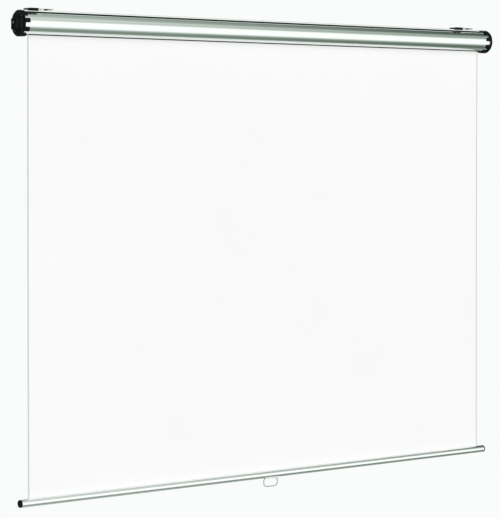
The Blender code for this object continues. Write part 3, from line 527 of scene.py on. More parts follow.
@functools.cache
def ribs() -> Recipe:
    """Lays equal ribs side by side at one spacing, from the first one up.

    Returns:
        The recipe.
    """
    recipe = Recipe("ribs", {"Count": "Int", "Step": "Vector", "Size": "Vector"})
    add = recipe.graph.add
    row = {"Count": recipe.given["Count"], "Offset": recipe.given["Step"]}
    line = add("GeometryNodeMeshLine", row).outputs[0]
    rib = add("GeometryNodeMeshCube", {"Size": recipe.given["Size"]}).outputs[0]
    laid = add("GeometryNodeInstanceOnPoints", {"Points": line, "Instance": rib})
    return recipe.end(laid.outputs[0])


def draft(mesh: Mesh) -> bpy.types.Object:
    """A working object that holds a mesh until it is baked.

    Args:
        mesh: The mesh that it holds.

    Returns:
        The working object.
    """
    drawn = bpy.data.objects.new("draft", mesh)
    bpy.context.scene.collection.objects.link(drawn)
    return drawn


def evaluated(drawn: bpy.types.Object) -> Mesh:
    """Bakes a working object's modifiers into a plain mesh and removes the object.

    Args:
        drawn: The working object, which is removed.

    Returns:
        The plain mesh.
    """
    bpy.context.view_layer.update()
    graph = bpy.context.evaluated_depsgraph_get()
    mesh = bpy.data.meshes.new_from_object(
        drawn.evaluated_get(graph), preserve_all_data_layers=True, depsgraph=graph
    )
    old = drawn.data
    bpy.data.objects.remove(drawn)
    bpy.data.meshes.remove(old)
    return mesh


def outlines(loops: Iterable[Loop], closed: bool = True) -> Mesh:
    """The lines that a recipe fills or follows, as loose edges.

    Args:
        loops: Each line's points, across and up.
        closed: Whether each line ends where it starts.

    Returns:
        The lines as a mesh.
    """
    points: list[tuple[float, float, float]] = []
    edges: list[tuple[int, int]] = []
    for loop in loops:
        first = len(points)
        points += [(across, up, 0) for across, up in loop]
        edges += [(i, i + 1) for i in range(first, len(points) - 1)]
        if closed:
            edges.append((len(points) - 1, first))
    mesh = bpy.data.meshes.new("outlines")
    mesh.from_pydata(points, edges, [])
    return mesh


def together(*meshes: Mesh) -> Mesh:
    """Several shells as one mesh.

    Args:
        meshes: The shells.

    Returns:
        The mesh that holds them all.
    """
    work = bmesh.new()
    for mesh in meshes:
        work.from_mesh(mesh)
    whole = bpy.data.meshes.new("together")
    work.to_mesh(whole)
    work.free()
    return whole


def softened(mesh: Mesh) -> Mesh:
    """Merges doubles, turns the faces outwards and shades smooth between sharp edges.

    Args:
        mesh: The mesh as it was built.

    Returns:
        The mesh with normals that keep its flats flat.
    """
    work = bmesh.new()
    work.from_mesh(mesh)
    bmesh.ops.remove_doubles(work, verts=work.verts, dist=WELD)
    bmesh.ops.dissolve_degenerate(work, edges=work.edges, dist=WELD)
    bmesh.ops.recalc_face_normals(work, faces=work.faces)
    work.to_mesh(mesh)
    work.free()
    mesh.shade_smooth()
    mesh.set_sharp_from_angle(angle=math.radians(SHARP_ANGLE))
    drawn = draft(mesh)
    drawn.modifiers.new("flats", "WEIGHTED_NORMAL").keep_sharp = True
    return evaluated(drawn)


class Solid:
    """A closed mesh in the making, in its place from the start."""

    def __init__(self, mesh: Mesh, at: Vector | None = None, facing: Facing = Facing.UP) -> None:
        """Takes a mesh drawn about its own origin and puts it in place.

        Args:
            mesh: The mesh, about its own origin.
            at: The place that it is put in.
            facing: The direction that it is turned to.
        """
        mesh.transform(Matrix.Translation(at or Vector()) @ facing.turn)
        self.drawn = draft(mesh)
        self.tools: list[Solid] = []

    @classmethod
    def prism(
        cls,
        loops: Sequence[Loop],
        low: float,
        high: float,
        at: Vector | None = None,
        facing: Facing = Facing.RIGHT,
    ) -> Self:
        """A straight bar with the section that the loops enclose, from low to high along it.

        Args:
            loops: The section's outlines, across and up.
            low: Where the bar starts.
            high: Where it ends.
            at: The place of the section's origin.
            facing: The direction that it runs in.

        Returns:
            The solid.
        """
        mesh = extrusion().make(outlines(loops), {"Length": high - low})
        mesh.transform(Matrix.Translation((0, 0, low)))
        return cls(mesh, at, facing)

    def bevel(self, width: float, segments: int = 3) -> Self:
        """Rounds the sharp edges.

        Args:
            width: The bevel's width.
            segments: The facets of each rounded edge.

        Returns:
            The solid itself.
        """
        modifier = self.drawn.modifiers.new("edges", "BEVEL")
        modifier.width = width
        modifier.segments = segments
        modifier.limit_method = "ANGLE"
        modifier.angle_limit = math.radians(SHARP_ANGLE)
        return self

    def _boolean(self, operation: str, tools: Iterable["Solid"]) -> Self:
        """Stacks a boolean for each tool.

        Args:
            operation: What is done with the tools.
            tools: The other solids.

        Returns:
            The solid itself.
        """
        for tool in tools:
            modifier = self.drawn.modifiers.new(operation.lower(), "BOOLEAN")
            modifier.operation = operation
            modifier.solver = "EXACT"
            modifier.object = tool.drawn
            self.tools.append(tool)
        return self

    def cut(self, *tools: "Solid") -> Self:
        """Takes the tools away from the solid."""
        return self._boolean("DIFFERENCE", tools)

    def join(self, *tools: "Solid") -> Self:
        """Joins the tools on to the solid."""
        return self._boolean("UNION", tools)

    def discard(self) -> None:
        """Removes a tool once it has done its work."""
        for tool in self.tools:
            tool.discard()
        mesh = self.drawn.data
        bpy.data.objects.remove(self.drawn)
        bpy.data.meshes.remove(mesh)

    def bake(self) -> Mesh:
        """Applies every step and returns the finished mesh.

        Returns:
            The mesh, smooth between its sharp edges.
        """
        mesh = evaluated(self.drawn)
        for tool in self.tools:
            tool.discard()
        return softened(mesh)


@dataclass(frozen=True)
class Finish:
    """A finish, whose material is made at its first use and shared by its pieces.

    The tones are shares of the colour, and the spread shares of the roughness, at the two ends of
    the finish's pattern. The relief is how far its bump stands out, and the strength the share of
    it that shows.
    """

    name: str
    slot: str
    colour: Colour
    roughness: float
    tones: Span = (1, 1)
    spread: Span = (1, 1)
    relief: float = 0
    strength: float = 0

    @functools.cache
    def material(self) -> bpy.types.Material:
        """The finish as a material.

        Returns:
            The material.
        """
        material = bpy.data.materials.new(self.name)
        material.use_nodes = True
        material.diffuse_color = (*self.colour, 1)
        graph = Graph(material.node_tree)
        shader = material.node_tree.nodes["Principled BSDF"]
        self.wire(graph, shader)
        return material

    def tone(self, share: float) -> tuple[float, float, float, float]:
        """The base colour, lighter or darker."""
        red, green, blue = (min(1, part * share) for part in self.colour)
        return red, green, blue, 1

    def wire(self, graph: Graph, shader: bpy.types.Node) -> None:
        """Feeds the shader. Each kind of finish has its own way."""
        raise NotImplementedError

    @property
    def rough_span(self) -> Span:
        """The roughness at the pattern's two ends."""
        return self.roughness * self.spread[0], self.roughness * self.spread[1]

    def toned(self, graph: Graph, pattern: Socket) -> Socket:
        """The base colour, lighter and darker with a pattern."""
        share = graph.ranged(pattern, NOISE_SPAN, (0, 1))
        return graph.blend(share, self.tone(self.tones[0]), self.tone(self.tones[1]))

    def vary(self, graph: Graph, shader: bpy.types.Node, pattern: Socket) -> None:
        """Lets one pattern vary the colour and the roughness.

        Args:
            graph: The material's graph.
            shader: The shader that is fed.
            pattern: Values from 0 to 1 over the surface.
        """
        rough = graph.ranged(pattern, NOISE_SPAN, self.rough_span)
        graph.tree.links.new(self.toned(graph, pattern), shader.inputs["Base Color"])
        graph.tree.links.new(rough, shader.inputs["Roughness"])

    def raise_surface(self, graph: Graph, shader: bpy.types.Node, height: Socket) -> None:
        """Feeds a bump of the finish's relief.

        Args:
            graph: The material's graph.
            shader: The shader that is fed.
            height: The pattern that stands out.
        """
        inputs = {"Height": height, "Strength": self.strength, "Distance": self.relief}
        normal = graph.add("ShaderNodeBump", inputs).outputs[0]
        graph.tree.links.new(normal, shader.inputs["Normal"])


@dataclass(frozen=True)
class ExtrudedMetal(Finish):
    """Satin anodised aluminium with fine die lines along the extrusion."""

    tones: Span = (0.96, 1.04)
    spread: Span = (0.85, 1.15)
    relief: float = 0.012 * MM
    strength: float = 0.25
    lines: Grain = (3, 1800, 1800)
    line_share: float = 0.6
    cloud: Grain = (5, 18, 18)

    def wire(self, graph: Graph, shader: bpy.types.Node) -> None:
        """Draws the lines along X, and a faint cloud of the anodising bath.

        Args:
            graph: The material's graph.
            shader: The shader that is fed.
        """
        shader.inputs["Metallic"].default_value = 1.0
        at = graph.add("ShaderNodeTexCoord").outputs["Object"]
        lines = graph.noise(at, self.lines, detail=3)
        cloud = graph.noise(at, self.cloud, detail=2)
        self.vary(graph, shader, graph.weighed(lines, cloud, self.line_share))
        self.raise_surface(graph, shader, lines)


@dataclass(frozen=True)
class MouldedPlastic(Finish):
    """Moulded plastic with the fine grain of an eroded tool."""

    tones: Span = (0.85, 1.15)
    spread: Span = (0.88, 1.12)
    relief: float = 0.02 * MM
    strength: float = 0.35
    grain: float = 1600
    flow: float = 40
    shine: float = 0.3

    def wire(self, graph: Graph, shader: bpy.types.Node) -> None:
        """Lays the grain over soft flow marks.

        Args:
            graph: The material's graph.
            shader: The shader that is fed.
        """
        shader.inputs["Specular IOR Level"].default_value = self.shine
        at = graph.add("ShaderNodeTexCoord").outputs["Object"]
        flow = graph.noise(at, (self.flow,) * 3, detail=3)
        grain = graph.noise(at, (self.grain,) * 3, detail=2)
        self.vary(graph, shader, flow)
        self.raise_surface(graph, shader, grain)


@dataclass(frozen=True)
class PlatedSteel(Finish):
    """Bright steel, rolled and zinc plated, with faint crystals in the plating."""

    tones: Span = (0.9, 1.06)
    spread: Span = (0.75, 1.3)
    relief: float = 0.01 * MM
    strength: float = 0.2
    crystal: float = 450
    brush: Grain = (30, 1400, 1400)
    brush_share: float = 0.7

    def wire(self, graph: Graph, shader: bpy.types.Node) -> None:
        """Mixes the crystals with fine rolling marks.

        Args:
            graph: The material's graph.
            shader: The shader that is fed.
        """
        shader.inputs["Metallic"].default_value = 1.0
        at = graph.add("ShaderNodeTexCoord").outputs["Object"]
        cells = graph.add("ShaderNodeTexVoronoi", {"Vector": at, "Scale": self.crystal})
        shade = graph.add("ShaderNodeSeparateColor", {0: cells.outputs["Color"]}).outputs[0]
        marks = graph.noise(at, self.brush, detail=2)
        self.vary(graph, shader, graph.weighed(marks, shade, self.brush_share))
        self.raise_surface(graph, shader, marks)


@dataclass(frozen=True)
class WovenSheet(Finish):
    """Matt white screen cloth: a plain weave under a soft coat, with a grey band of painted shadow
    along its side edges.
    """

    tones: Span = (0.985, 1.0)
    spread: Span = (1, 0.7)
    relief: float = 0.05 * MM
    strength: float = 0.4
    pitch: float = 0.55 * MM
    weave_share: float = 0.8
    slub: Grain = (90, 900, 1)
    cloud: Grain = (3, 3, 1)
    coat_shine: float = 0.15
    sheen: float = 0.08
    sheen_roughness: float = 0.6
    # The grey band along each side edge is painted shadow: the dark line at the sheet's edge.
    edge_shadow_colour: Colour = (0.58, 0.60, 0.60)
    edge_shadow_border: Span = (0.9958, 0.9963)

    def wire(self, graph: Graph, shader: bpy.types.Node) -> None:
        """Weaves along the cloth's own map, whose units are metres from its middle.

        Args:
            graph: The material's graph.
            shader: The shader that is fed.
        """
        shader.inputs["Specular IOR Level"].default_value = self.coat_shine
        shader.inputs["Sheen Weight"].default_value = self.sheen
        shader.inputs["Sheen Roughness"].default_value = self.sheen_roughness
        cloth = graph.add("ShaderNodeUVMap", uv_map=CLOTH_UV).outputs[0]
        parts = graph.add("ShaderNodeSeparateXYZ", {0: cloth}).outputs
        turns = math.pi / self.pitch
        weft = graph.sum("SINE", graph.sum("MULTIPLY", parts[0], turns))
        warp = graph.sum("SINE", graph.sum("MULTIPLY", parts[1], turns))
        crossed = graph.sum("MULTIPLY_ADD", graph.sum("MULTIPLY", weft, warp), 0.5, 0.5)
        slub = graph.noise(cloth, self.slub, detail=3)
        self.raise_surface(graph, shader, graph.weighed(crossed, slub, self.weave_share))

        body = self.toned(graph, graph.noise(cloth, self.cloud, detail=2))
        # A grey band of painted shadow along each side edge.
        across = graph.sum("ABSOLUTE", parts[0])
        edge = graph.ranged(across, self.edge_shadow_border, (0, 1))
        colour = graph.blend(edge, body, (*self.edge_shadow_colour, 1))
        graph.tree.links.new(colour, shader.inputs["Base Color"])
        rough = graph.ranged(edge, (0, 1), self.rough_span)
        graph.tree.links.new(rough, shader.inputs["Roughness"])


CASE_METAL = ExtrudedMetal("case anodising", "anodised_aluminium", (0.82, 0.87, 0.84), 0.15)
BAR_METAL = ExtrudedMetal("bar anodising", "anodised_aluminium", (0.86, 0.89, 0.87), 0.18)
ROLLER_METAL = ExtrudedMetal(
    "roller mill finish", "roller_aluminium", (0.60, 0.61, 0.62), 0.42, lines=(3, 900, 900)
)
BLACK_PLASTIC = MouldedPlastic(
    "black moulding", "black_plastic", (0.0035, 0.005, 0.005), 0.5, shine=0.08
)
HANDLE_PLASTIC = MouldedPlastic(
    "handle moulding", "pale_plastic", (0.36, 0.375, 0.375), 0.3, grain=2200, shine=0.5
)
# Much lighter than the handle's pale plastic: painted light that offsets the shade under the bar.
LIGHTENED_CLIP_PLASTIC = MouldedPlastic(
    "clip moulding", "pale_plastic", (0.84, 0.85, 0.845), 0.45, grain=2200, shine=0.3
)
NYLON = MouldedPlastic("grey nylon", "grey_nylon", (0.42, 0.43, 0.44), 0.5)
ZINC = PlatedSteel("zinc plate", "zinc_plate", (0.72, 0.73, 0.74), 0.3)
STEEL = PlatedSteel("bright steel", "bright_steel", (0.62, 0.62, 0.63), 0.28, crystal=900)
BLACK_STEEL = PlatedSteel("blackened steel", "black_steel", (0.05, 0.05, 0.06), 0.4, crystal=900)
SPRING_STEEL = PlatedSteel("spring steel", "spring_steel", (0.33, 0.34, 0.36), 0.38, crystal=900)
SCREEN_CLOTH = WovenSheet("screen cloth", "white_fabric", (0.90, 0.905, 0.90), 0.85)


def fit(name: str, mesh: Mesh, finish: Finish, body: str, *nodes: str) -> bpy.types.Object:
    """Puts a finished piece in the scene.

    Args:
        name: The piece's name.
        mesh: Its mesh, in place.
        finish: The finish that it gets.
        body: The CAD body that it rides on.
        nodes: The CAD nodes that it stands for.

    Returns:
        The piece's object.
    """
    mesh.name = name
    mesh.materials.clear()
    mesh.materials.append(finish.material())
    piece = bpy.data.objects.new(name, mesh)
    bpy.context.scene.collection.objects.link(piece)
    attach(piece, body)
    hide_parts(*nodes)
    log.info("%s: %d faces, on %s", name, len(mesh.polygons), body)
    return piece


def dress(finish: Finish, *nodes: str) -> None:
    """Gives CAD nodes whose shape is right their finish.

    Args:
        finish: The finish.
        nodes: The CAD nodes.
    """
    for node in nodes:
        for slot in frame["nodes"][node].material_slots:
            slot.material = finish.material()
        log.info("%s keeps its solid, in %s", node, finish.name)


def middle(node: str) -> Vector:
    """The middle of a CAD node's box."""
    low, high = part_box(node)
    return (low + high) / 2


def half_size(node: str, axis: int) -> float:
    """Half the size of a CAD node's box along one axis."""
    low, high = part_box(node)
    return (high[axis] - low[axis]) / 2


def joint_row(name: str) -> dict:
    """What the frame says about a joint."""
    return next(joint for joint in frame["joints"] if joint["name"] == name)


def joint_place(name: str) -> Vector:
    """A point on a joint's axis."""
    return Vector(joint_row(name)["pos_m"])


def hanging(point: Vector, centre: Vector) -> float:
    """The height at a corner of a cloth that hangs straight, whatever its face's centre."""
    return point.z


def map_cloth(mesh: Mesh, along: Callable[[Vector, Vector], float] = hanging) -> None:
    """Gives a piece of cloth its own map in metres.

    Args:
        mesh: The cloth's mesh.
        along: The place along the cloth at a corner, from the corner and its face's centre.
    """
    layer = mesh.uv_layers.new(name=CLOTH_UV)
    for face in mesh.polygons:
        for corner in face.loop_indices:
            point = mesh.vertices[mesh.loops[corner].vertex_index].co
            layer.data[corner].uv = (point.x, along(point, face.center))


@dataclass(frozen=True)
class PanScrew:
    """A pan head screw with a cross recess, its seat at the origin and its head up."""

    radius: float
    height: float
    shank: float
    depth: float
    crown_power: float = 0.6
    crown_step: int = 12
    slot_share: float = 0.16
    reach_share: float = 0.62
    recess_share: float = 0.35
    tip_share: float = 0.35

    def profile(self) -> Loop:
        """Heights and radii from the crown's top to the shank's tip.

        Returns:
            The profile, closed on the screw's axis at both ends.
        """
        crown = [
            (GAP + self.height * z, self.radius * r**self.crown_power)
            for r, z in (on_circle(1, degrees) for degrees in range(0, 85, self.crown_step))
        ]
        return [
            *crown,
            (GAP, self.radius),
            (GAP, self.shank),
            (-self.depth + self.shank, self.shank),
            (-self.depth, self.shank * self.tip_share),
            (-self.depth, 0),
        ]

    def build(self) -> Mesh:
        """Turns the screw and cuts its recess.

        Returns:
            The screw's mesh.
        """
        slot = self.radius * self.slot_share
        reach = self.radius * self.reach_share
        arm: list[Corner] = [(slot, slot, slot / 3), (slot, reach, 0), (-slot, reach, 0)]
        cross: list[Corner] = []
        for _ in range(4):
            cross += arm
            arm = [(-y, x, corner) for x, y, corner in arm]
        floor = GAP + self.height * self.recess_share
        top = GAP + self.height * 2
        recess = Solid.prism([filleted(cross, steps=2)], floor, top, facing=Facing.UP)
        return Solid(lathed(self.profile(), facets=32)).cut(recess).bake()


def set_screws(places: Sequence[tuple[Vector, Vector]], screw: Mesh, seed: int) -> Mesh:
    """Sets one screw at each place.

    Args:
        places: Each seat and the direction that its head points to.
        screw: The screw's mesh.
        seed: The seed of the heads' turns.

    Returns:
        All screws as one mesh.
    """
    host = bpy.data.meshes.new("seats")
    host.from_pydata([seat for seat, _ in places], [], [])
    facing = host.attributes.new("facing", "FLOAT_VECTOR", "POINT")
    for value, (_, direction) in zip(facing.data, places):
        value.vector = direction
    pattern = draft(screw)
    mesh = fasteners().make(host, {"Screw": pattern, "Seed": seed})
    bpy.data.objects.remove(pattern)
    return softened(mesh)


@dataclass
class Case:
    """The aluminium tube, the black strips that line its slot, and two black strips of painted
    shade along its rail.
    """

    radius: float = 36.5 * MM
    wall: float = 1.6 * MM
    slot_width: float = 11 * MM
    rail_width: float = 25 * MM
    rail_rise: float = 6.9 * MM
    rail_side: float = 4.8 * MM
    rail_neck: float = 19 * MM
    rail_undercut: float = 1.5 * MM
    # The depth of the black strips that paint the shade in the grooves under the rail.
    shade_strip_depth: float = 1.2 * MM
    rail_lip: float = 1.5 * MM
    rail_mouth: float = 10 * MM
    rail_chamber: float = 16 * MM
    rail_floor: float = 1.8 * MM
    port_angles: tuple[float, ...] = (-139, -41, 144)
    port_radius: float = 3.6 * MM
    port_bore: float = 1.7 * MM
    port_inset: float = 3.2 * MM
    strip_wall: float = 2.2 * MM
    strip_grip: float = 6.5 * MM
    strip_lip: float = 1.8 * MM
    strip_drop: float = 0.8 * MM
    strip_taper: float = 0.6 * MM

    def __post_init__(self) -> None:
        """Takes the axis and the ends from the frame."""
        self.axis = Vector((0, 0, middle("end_cap_right").z))
        self.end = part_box("case_tube")[1].x
        self.bore = self.radius - self.wall
        self.port_distance = self.bore - self.port_inset

    def port_centre(self, angle: float) -> Point:
        """The middle of a screw port."""
        return on_circle(self.port_distance, angle)

    def port_bump(self, angle: float) -> tuple[Loop, float]:
        """The inner wall where it goes round a port, and half the angle that the port takes up.

        Args:
            angle: The port's place round the tube.

        Returns:
            The wall's points and the angle.
        """
        cosine = self.bore**2 + self.port_distance**2 - self.port_radius**2
        spread = math.acos(cosine / (2 * self.bore * self.port_distance))
        out = self.bore * math.cos(spread) - self.port_distance
        meets = math.degrees(math.atan2(self.bore * math.sin(spread), out))
        ends = (angle - meets, angle + meets - 360)
        bump = arc(self.port_radius, *ends, facets=48, centre=self.port_centre(angle))
        return bump, math.degrees(spread)

    def section(self) -> list[Loop]:
        """The extrusion's outline, with its outer corners broken, and the bores of its screw ports.

        Returns:
            The outline and the bores.
        """
        slot = 180 - half_angle(self.slot_width / 2, self.radius)
        neck = half_angle(self.rail_neck / 2, self.radius)
        top = self.radius + self.rail_rise
        under = top - self.rail_side
        lip = top - self.rail_lip
        floor = self.bore + self.rail_floor
        rail = [
            (self.rail_neck / 2, under, 0.5 * MM),
            (self.rail_width / 2 - self.rail_undercut, under, 0.6 * MM),
            (self.rail_width / 2, top, 1.3 * MM),
            (self.rail_mouth / 2, top, 0.35 * MM),
            (self.rail_mouth / 2, lip, 0.35 * MM),
            (self.rail_chamber / 2, lip, 0.3 * MM),
            (self.rail_chamber / 2, floor, 0.4 * MM),
        ]
        flank = with_ends(arc(self.radius, slot, neck), 0.45 * MM, 0.5 * MM)
        outer = flank + rail + mirrored(flank + rail)
        inner_slot = 180 - half_angle(self.slot_width / 2, self.bore)
        inner: Loop = []
        angle = -inner_slot
        for port in self.port_angles:
            bump, spread = self.port_bump(port)
            inner += arc(self.bore, angle, port - spread)[:-1] + bump
            angle = port + spread
        inner += arc(self.bore, angle, inner_slot)[1:]
        spots = (self.port_centre(port) for port in self.port_angles)
        bores = [circle(self.port_bore, facets=24, centre=spot) for spot in spots]
        return [filleted(outer + with_ends(inner)), *bores]

    def shade_strip_section(self) -> list[Corner]:
        """The rear one of the black strips that fill the grooves between the tube and the rail:
        painted shade, black plastic where the grooves only lie in shadow.

        Returns:
            The strip's corners and their radii.
        """
        clear = 0.05 * MM
        near = self.rail_neck / 2 + clear
        far = near + self.shade_strip_depth
        top = self.radius + self.rail_rise - self.rail_side - clear
        low_near, low_far = (math.sqrt(self.radius**2 - y**2) + clear for y in (near, far))
        return [(near, low_near, 0), (near, top, 0), (far, top, 0.3 * MM), (far, low_far, 0.3 * MM)]

    def strip_section(self) -> list[Corner]:
        """The rear strip: a channel that grips the slot's edge from inside and outside.

        Returns:
            The strip's corners and their radii.
        """
        seat = self.slot_width / 2 - GAP
        face = seat - self.strip_wall
        tip = self.slot_width / 2 + self.strip_grip
        bottom = -self.radius - self.strip_drop

        def under(y: float) -> float:
            """The tube's outer side at this place."""
            return -math.sqrt(self.radius**2 - y**2) - GAP

        def over(y: float) -> float:
            """The tube's inner side at this place."""
            return -math.sqrt(self.bore**2 - y**2) + GAP

        lip = over(seat) + self.strip_lip
        return [
            (face, bottom, 0.7 * MM),
            (seat, bottom, 0.3 * MM),
            (tip, under(tip) - self.strip_taper, 0.25 * MM),
            (tip, under(tip), 0.1 * MM),
            (seat, under(seat), 0.2 * MM),
            (seat, over(seat), 0.2 * MM),
            (tip, over(tip), 0.1 * MM),
            (tip, over(tip) + self.strip_lip - self.strip_taper, 0.4 * MM),
            (seat, lip, 0.3 * MM),
            (face, lip, 0.7 * MM),
        ]

    def build(self) -> None:
        """Makes the tube, the two strips in its slot and the two strips of painted shade along its
        rail.
        """
        tube = Solid.prism(self.section(), -self.end, self.end, self.axis)
        fit("case_extrusion", tube.bake(), CASE_METAL, "case", "case_tube")
        low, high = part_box("slot_guide_rear")
        rear = self.strip_section()
        for name, section in (("rear", rear), ("front", mirrored(rear))):
            strip = Solid.prism([filleted(section)], low.x, high.x, self.axis)
            fit(f"{name}_slot_strip", strip.bake(), BLACK_PLASTIC, "case", f"slot_guide_{name}")
        rear_shade_section = self.shade_strip_section()
        for name, section in (("rear", rear_shade_section), ("front", mirrored(rear_shade_section))):
            shade_prism = Solid.prism([filleted(section)], -self.end, self.end, self.axis)
            # Painted shade: black strips that stand for the shadow in the grooves between the tube
            # and the rail.
            fit(f"{name}_rail_seal", shade_prism.bake(), BLACK_PLASTIC, "case")


@dataclass
class EndCaps:
    """The two black caps with their gripping tabs, and the screws that hold them."""

    case: Case
    flange_radius: float = 43 * MM
    flange_thickness: float = 3 * MM
    flange_edge: float = 1.2 * MM
    tab_angles: tuple[float, ...] = (35, 78, 121, 164)
    tab_span: float = 20
    tab_length: float = 18 * MM
    tab_thickness: float = 5.8 * MM
    spigot_span: float = 60
    spigot_length: float = 10 * MM
    spigot_wall: float = 2.7 * MM
    tab_edge: float = 0.6 * MM
    spigot_edge: float = 0.4 * MM
    boss_side: float = 36 * MM
    boss_drop: float = 2.5 * MM
    boss_corner: float = 3 * MM
    boss_edge: float = 1 * MM
    boss_wall: float = 2.5 * MM
    boss_recess: float = 3.5 * MM
    axle_radius: float = 11 * MM
    overlap: float = 1.5 * MM
    tang_width: float = 5.6 * MM
    tang_height: float = 8.6 * MM
    collar_radius: float = 6.3 * MM
    collar_wall: float = 1.1 * MM
    collar_edge: float = 0.3 * MM
    collar_drop: float = 1.2 * MM
    rib_count: int = 3
    rib_step: float = 4.2 * MM
    rib_width: float = 1.2 * MM
    rib_drop: float = 1 * MM
    rib_bite: float = 0.4 * MM
    sunk: float = 0.1 * MM
    screw_head: float = 3.2 * MM
    screw_rise: float = 1.8 * MM
    screw_shank: float = 1.4 * MM
    screw_reach: float = 12 * MM
    screw_seed: int = 4

    def __post_init__(self) -> None:
        """Takes the places along the case from the frame."""
        self.flange_inner = self.case.end + GAP
        self.flange_outer = self.flange_inner + self.flange_thickness
        self.boss_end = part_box("end_cap_right")[1].x
        self.roller_axis = Vector((0, *middle("roller_tube")[1:]))
        self.axle_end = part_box("idle_bush")[0].x
        self.bush_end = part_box("idle_bush")[1].x

    def flange(self, side: Side) -> Solid:
        """The round disc with its softened rim.

        Args:
            side: The cap's end of the case.

        Returns:
            The disc, in place.
        """
        rim = rim_edge(self.flange_thickness, self.flange_radius, self.flange_edge)
        soft = 0.25 * MM
        back = [(soft, self.flange_radius), (0, self.flange_radius - soft), (0, 0)]
        profile = [(self.flange_thickness, 0), *rim, *back]
        start = self.case.axis + Vector((side.sign * self.flange_inner, 0, 0))
        return Solid(lathed(profile, facets=144), start, side.outward)

    def add_boss(self, cap: Solid, side: Side) -> None:
        """Joins the square boss on, and sinks its recess.

        Args:
            cap: The cap in the making.
            side: The cap's end of the case.
        """
        centre = (0, -self.boss_drop)
        outline = rounded_box(self.boss_side, self.boss_side, self.boss_corner, centre)
        reach = side.span(self.flange_outer - self.overlap, self.boss_end)
        cap.join(Solid.prism([outline], *reach, self.case.axis).bevel(self.boss_edge))
        inside = self.boss_side - 2 * self.boss_wall
        recess = rounded_box(inside, inside, self.boss_corner / 2, centre)
        reach = side.span(self.boss_end - self.boss_recess, self.boss_end + self.overlap)
        cap.cut(Solid.prism([recess], *reach, self.case.axis))

    def segment(self, angle: float, span: float, radii: Span, reach: Span, edge: float) -> Solid:
        """A piece of a ring about the case's axis.

        Args:
            angle: Its middle, in degrees.
            span: The angle that it takes up.
            radii: Its outer and inner radius.
            reach: Where it starts and ends along the case.
            edge: The width of its rounded edges.

        Returns:
            The piece as a tool to be joined on.
        """
        ends = (angle - span / 2, angle + span / 2)
        loop = arc(radii[0], *ends) + arc(radii[1], *reversed(ends))
        return Solid.prism([loop], *reach, self.case.axis).bevel(edge)

    def add_grips(self, cap: Solid, side: Side) -> None:
        """Joins the tabs on outside the tube, and the two spigots inside it.

        Args:
            cap: The cap in the making.
            side: The cap's end of the case.
        """
        root = self.flange_inner + self.overlap
        inner = self.case.radius + GAP
        radii = (inner + self.tab_thickness, inner)
        reach = side.span(self.flange_inner - self.tab_length, root)
        for angle in (*self.tab_angles, *(-angle for angle in self.tab_angles)):
            cap.join(self.segment(angle, self.tab_span, radii, reach, self.tab_edge))
        outer = self.case.bore - GAP
        radii = (outer, outer - self.spigot_wall)
        reach = side.span(self.flange_inner - self.spigot_length, root)
        for angle in (-90, 90):
            cap.join(self.segment(angle, self.spigot_span, radii, reach, self.spigot_edge))

    def add_socket(self, cap: Solid, side: Side) -> None:
        """Joins the roller's socket on, and cuts its bore and the screw holes.

        Args:
            cap: The cap in the making.
            side: The cap's end of the case.
        """
        axis = self.roller_axis
        socket = circle(self.axle_radius, facets=48)
        reach = side.span(self.axle_end, self.flange_inner + self.overlap)
        cap.join(Solid.prism([socket], *reach, axis))
        if side is Side.LEFT:
            bore = box(self.tang_width, self.tang_height)
            bore_end = self.boss_end + self.overlap
        else:
            bore = circle(half_size("idle_bush", HEIGHT) + GAP, facets=48)
            bore_end = self.bush_end + GAP
        reach = side.span(self.axle_end - self.overlap, bore_end)
        cap.cut(Solid.prism([bore], *reach, axis))
        reach = side.span(self.flange_inner - self.overlap, self.flange_outer + self.overlap)
        for port in self.case.port_angles:
            centre = self.case.port_centre(port)
            hole = circle(self.case.port_bore, facets=24, centre=centre)
            cap.cut(Solid.prism([hole], *reach, self.case.axis))

    def build_cap(self, side: Side) -> None:
        """Makes one cap: disc, square boss, tabs, spigots and axle socket in one moulding.

        Args:
            side: The cap's end of the case.
        """
        cap = self.flange(side)
        self.add_boss(cap, side)
        self.add_grips(cap, side)
        self.add_socket(cap, side)
        pieces = [cap.bake(), self.recess_ribs(side)]
        if side is Side.LEFT:
            pieces.append(self.shaft_collar(side))
        name = side.value
        fit(f"{name}_cap", softened(together(*pieces)), BLACK_PLASTIC, "case", f"end_cap_{name}")

    def recess_ribs(self, side: Side) -> Mesh:
        """The stiffening ribs across the lower half of the boss's recess.

        Args:
            side: The cap's end of the case.

        Returns:
            The ribs as one mesh.
        """
        height = self.boss_recess - self.rib_drop
        length = self.boss_side - 2 * self.boss_wall + self.rib_bite
        size = (height, length, self.rib_width)
        values = {"Count": self.rib_count, "Step": (0, 0, self.rib_step), "Size": size}
        mesh = ribs().make(bpy.data.meshes.new("host"), values, BLACK_PLASTIC)
        depth = self.boss_end - self.boss_recess + height / 2 - self.sunk
        first = -self.boss_drop - self.boss_side / 2 + self.boss_wall + self.rib_step
        mesh.transform(Matrix.Translation(self.case.axis + Vector((side.sign * depth, 0, first))))
        return mesh

    def shaft_collar(self, side: Side) -> Mesh:
        """The ring round the spring shaft's square hole.

        Args:
            side: The cap's end of the case.

        Returns:
            The ring's mesh.
        """
        inner = self.collar_radius - self.collar_wall
        top = self.boss_recess - self.collar_drop
        profile = [
            (top, inner),
            (top, self.collar_radius - self.collar_edge),
            (top - self.collar_edge, self.collar_radius),
            (-self.sunk, self.collar_radius),
            (-self.sunk, inner),
        ]
        mesh = lathed(profile, facets=48, ring=True)
        floor = side.sign * (self.boss_end - self.boss_recess)
        place = Matrix.Translation(self.roller_axis + Vector((floor, 0, 0)))
        mesh.transform(place @ side.outward.turn)
        return mesh

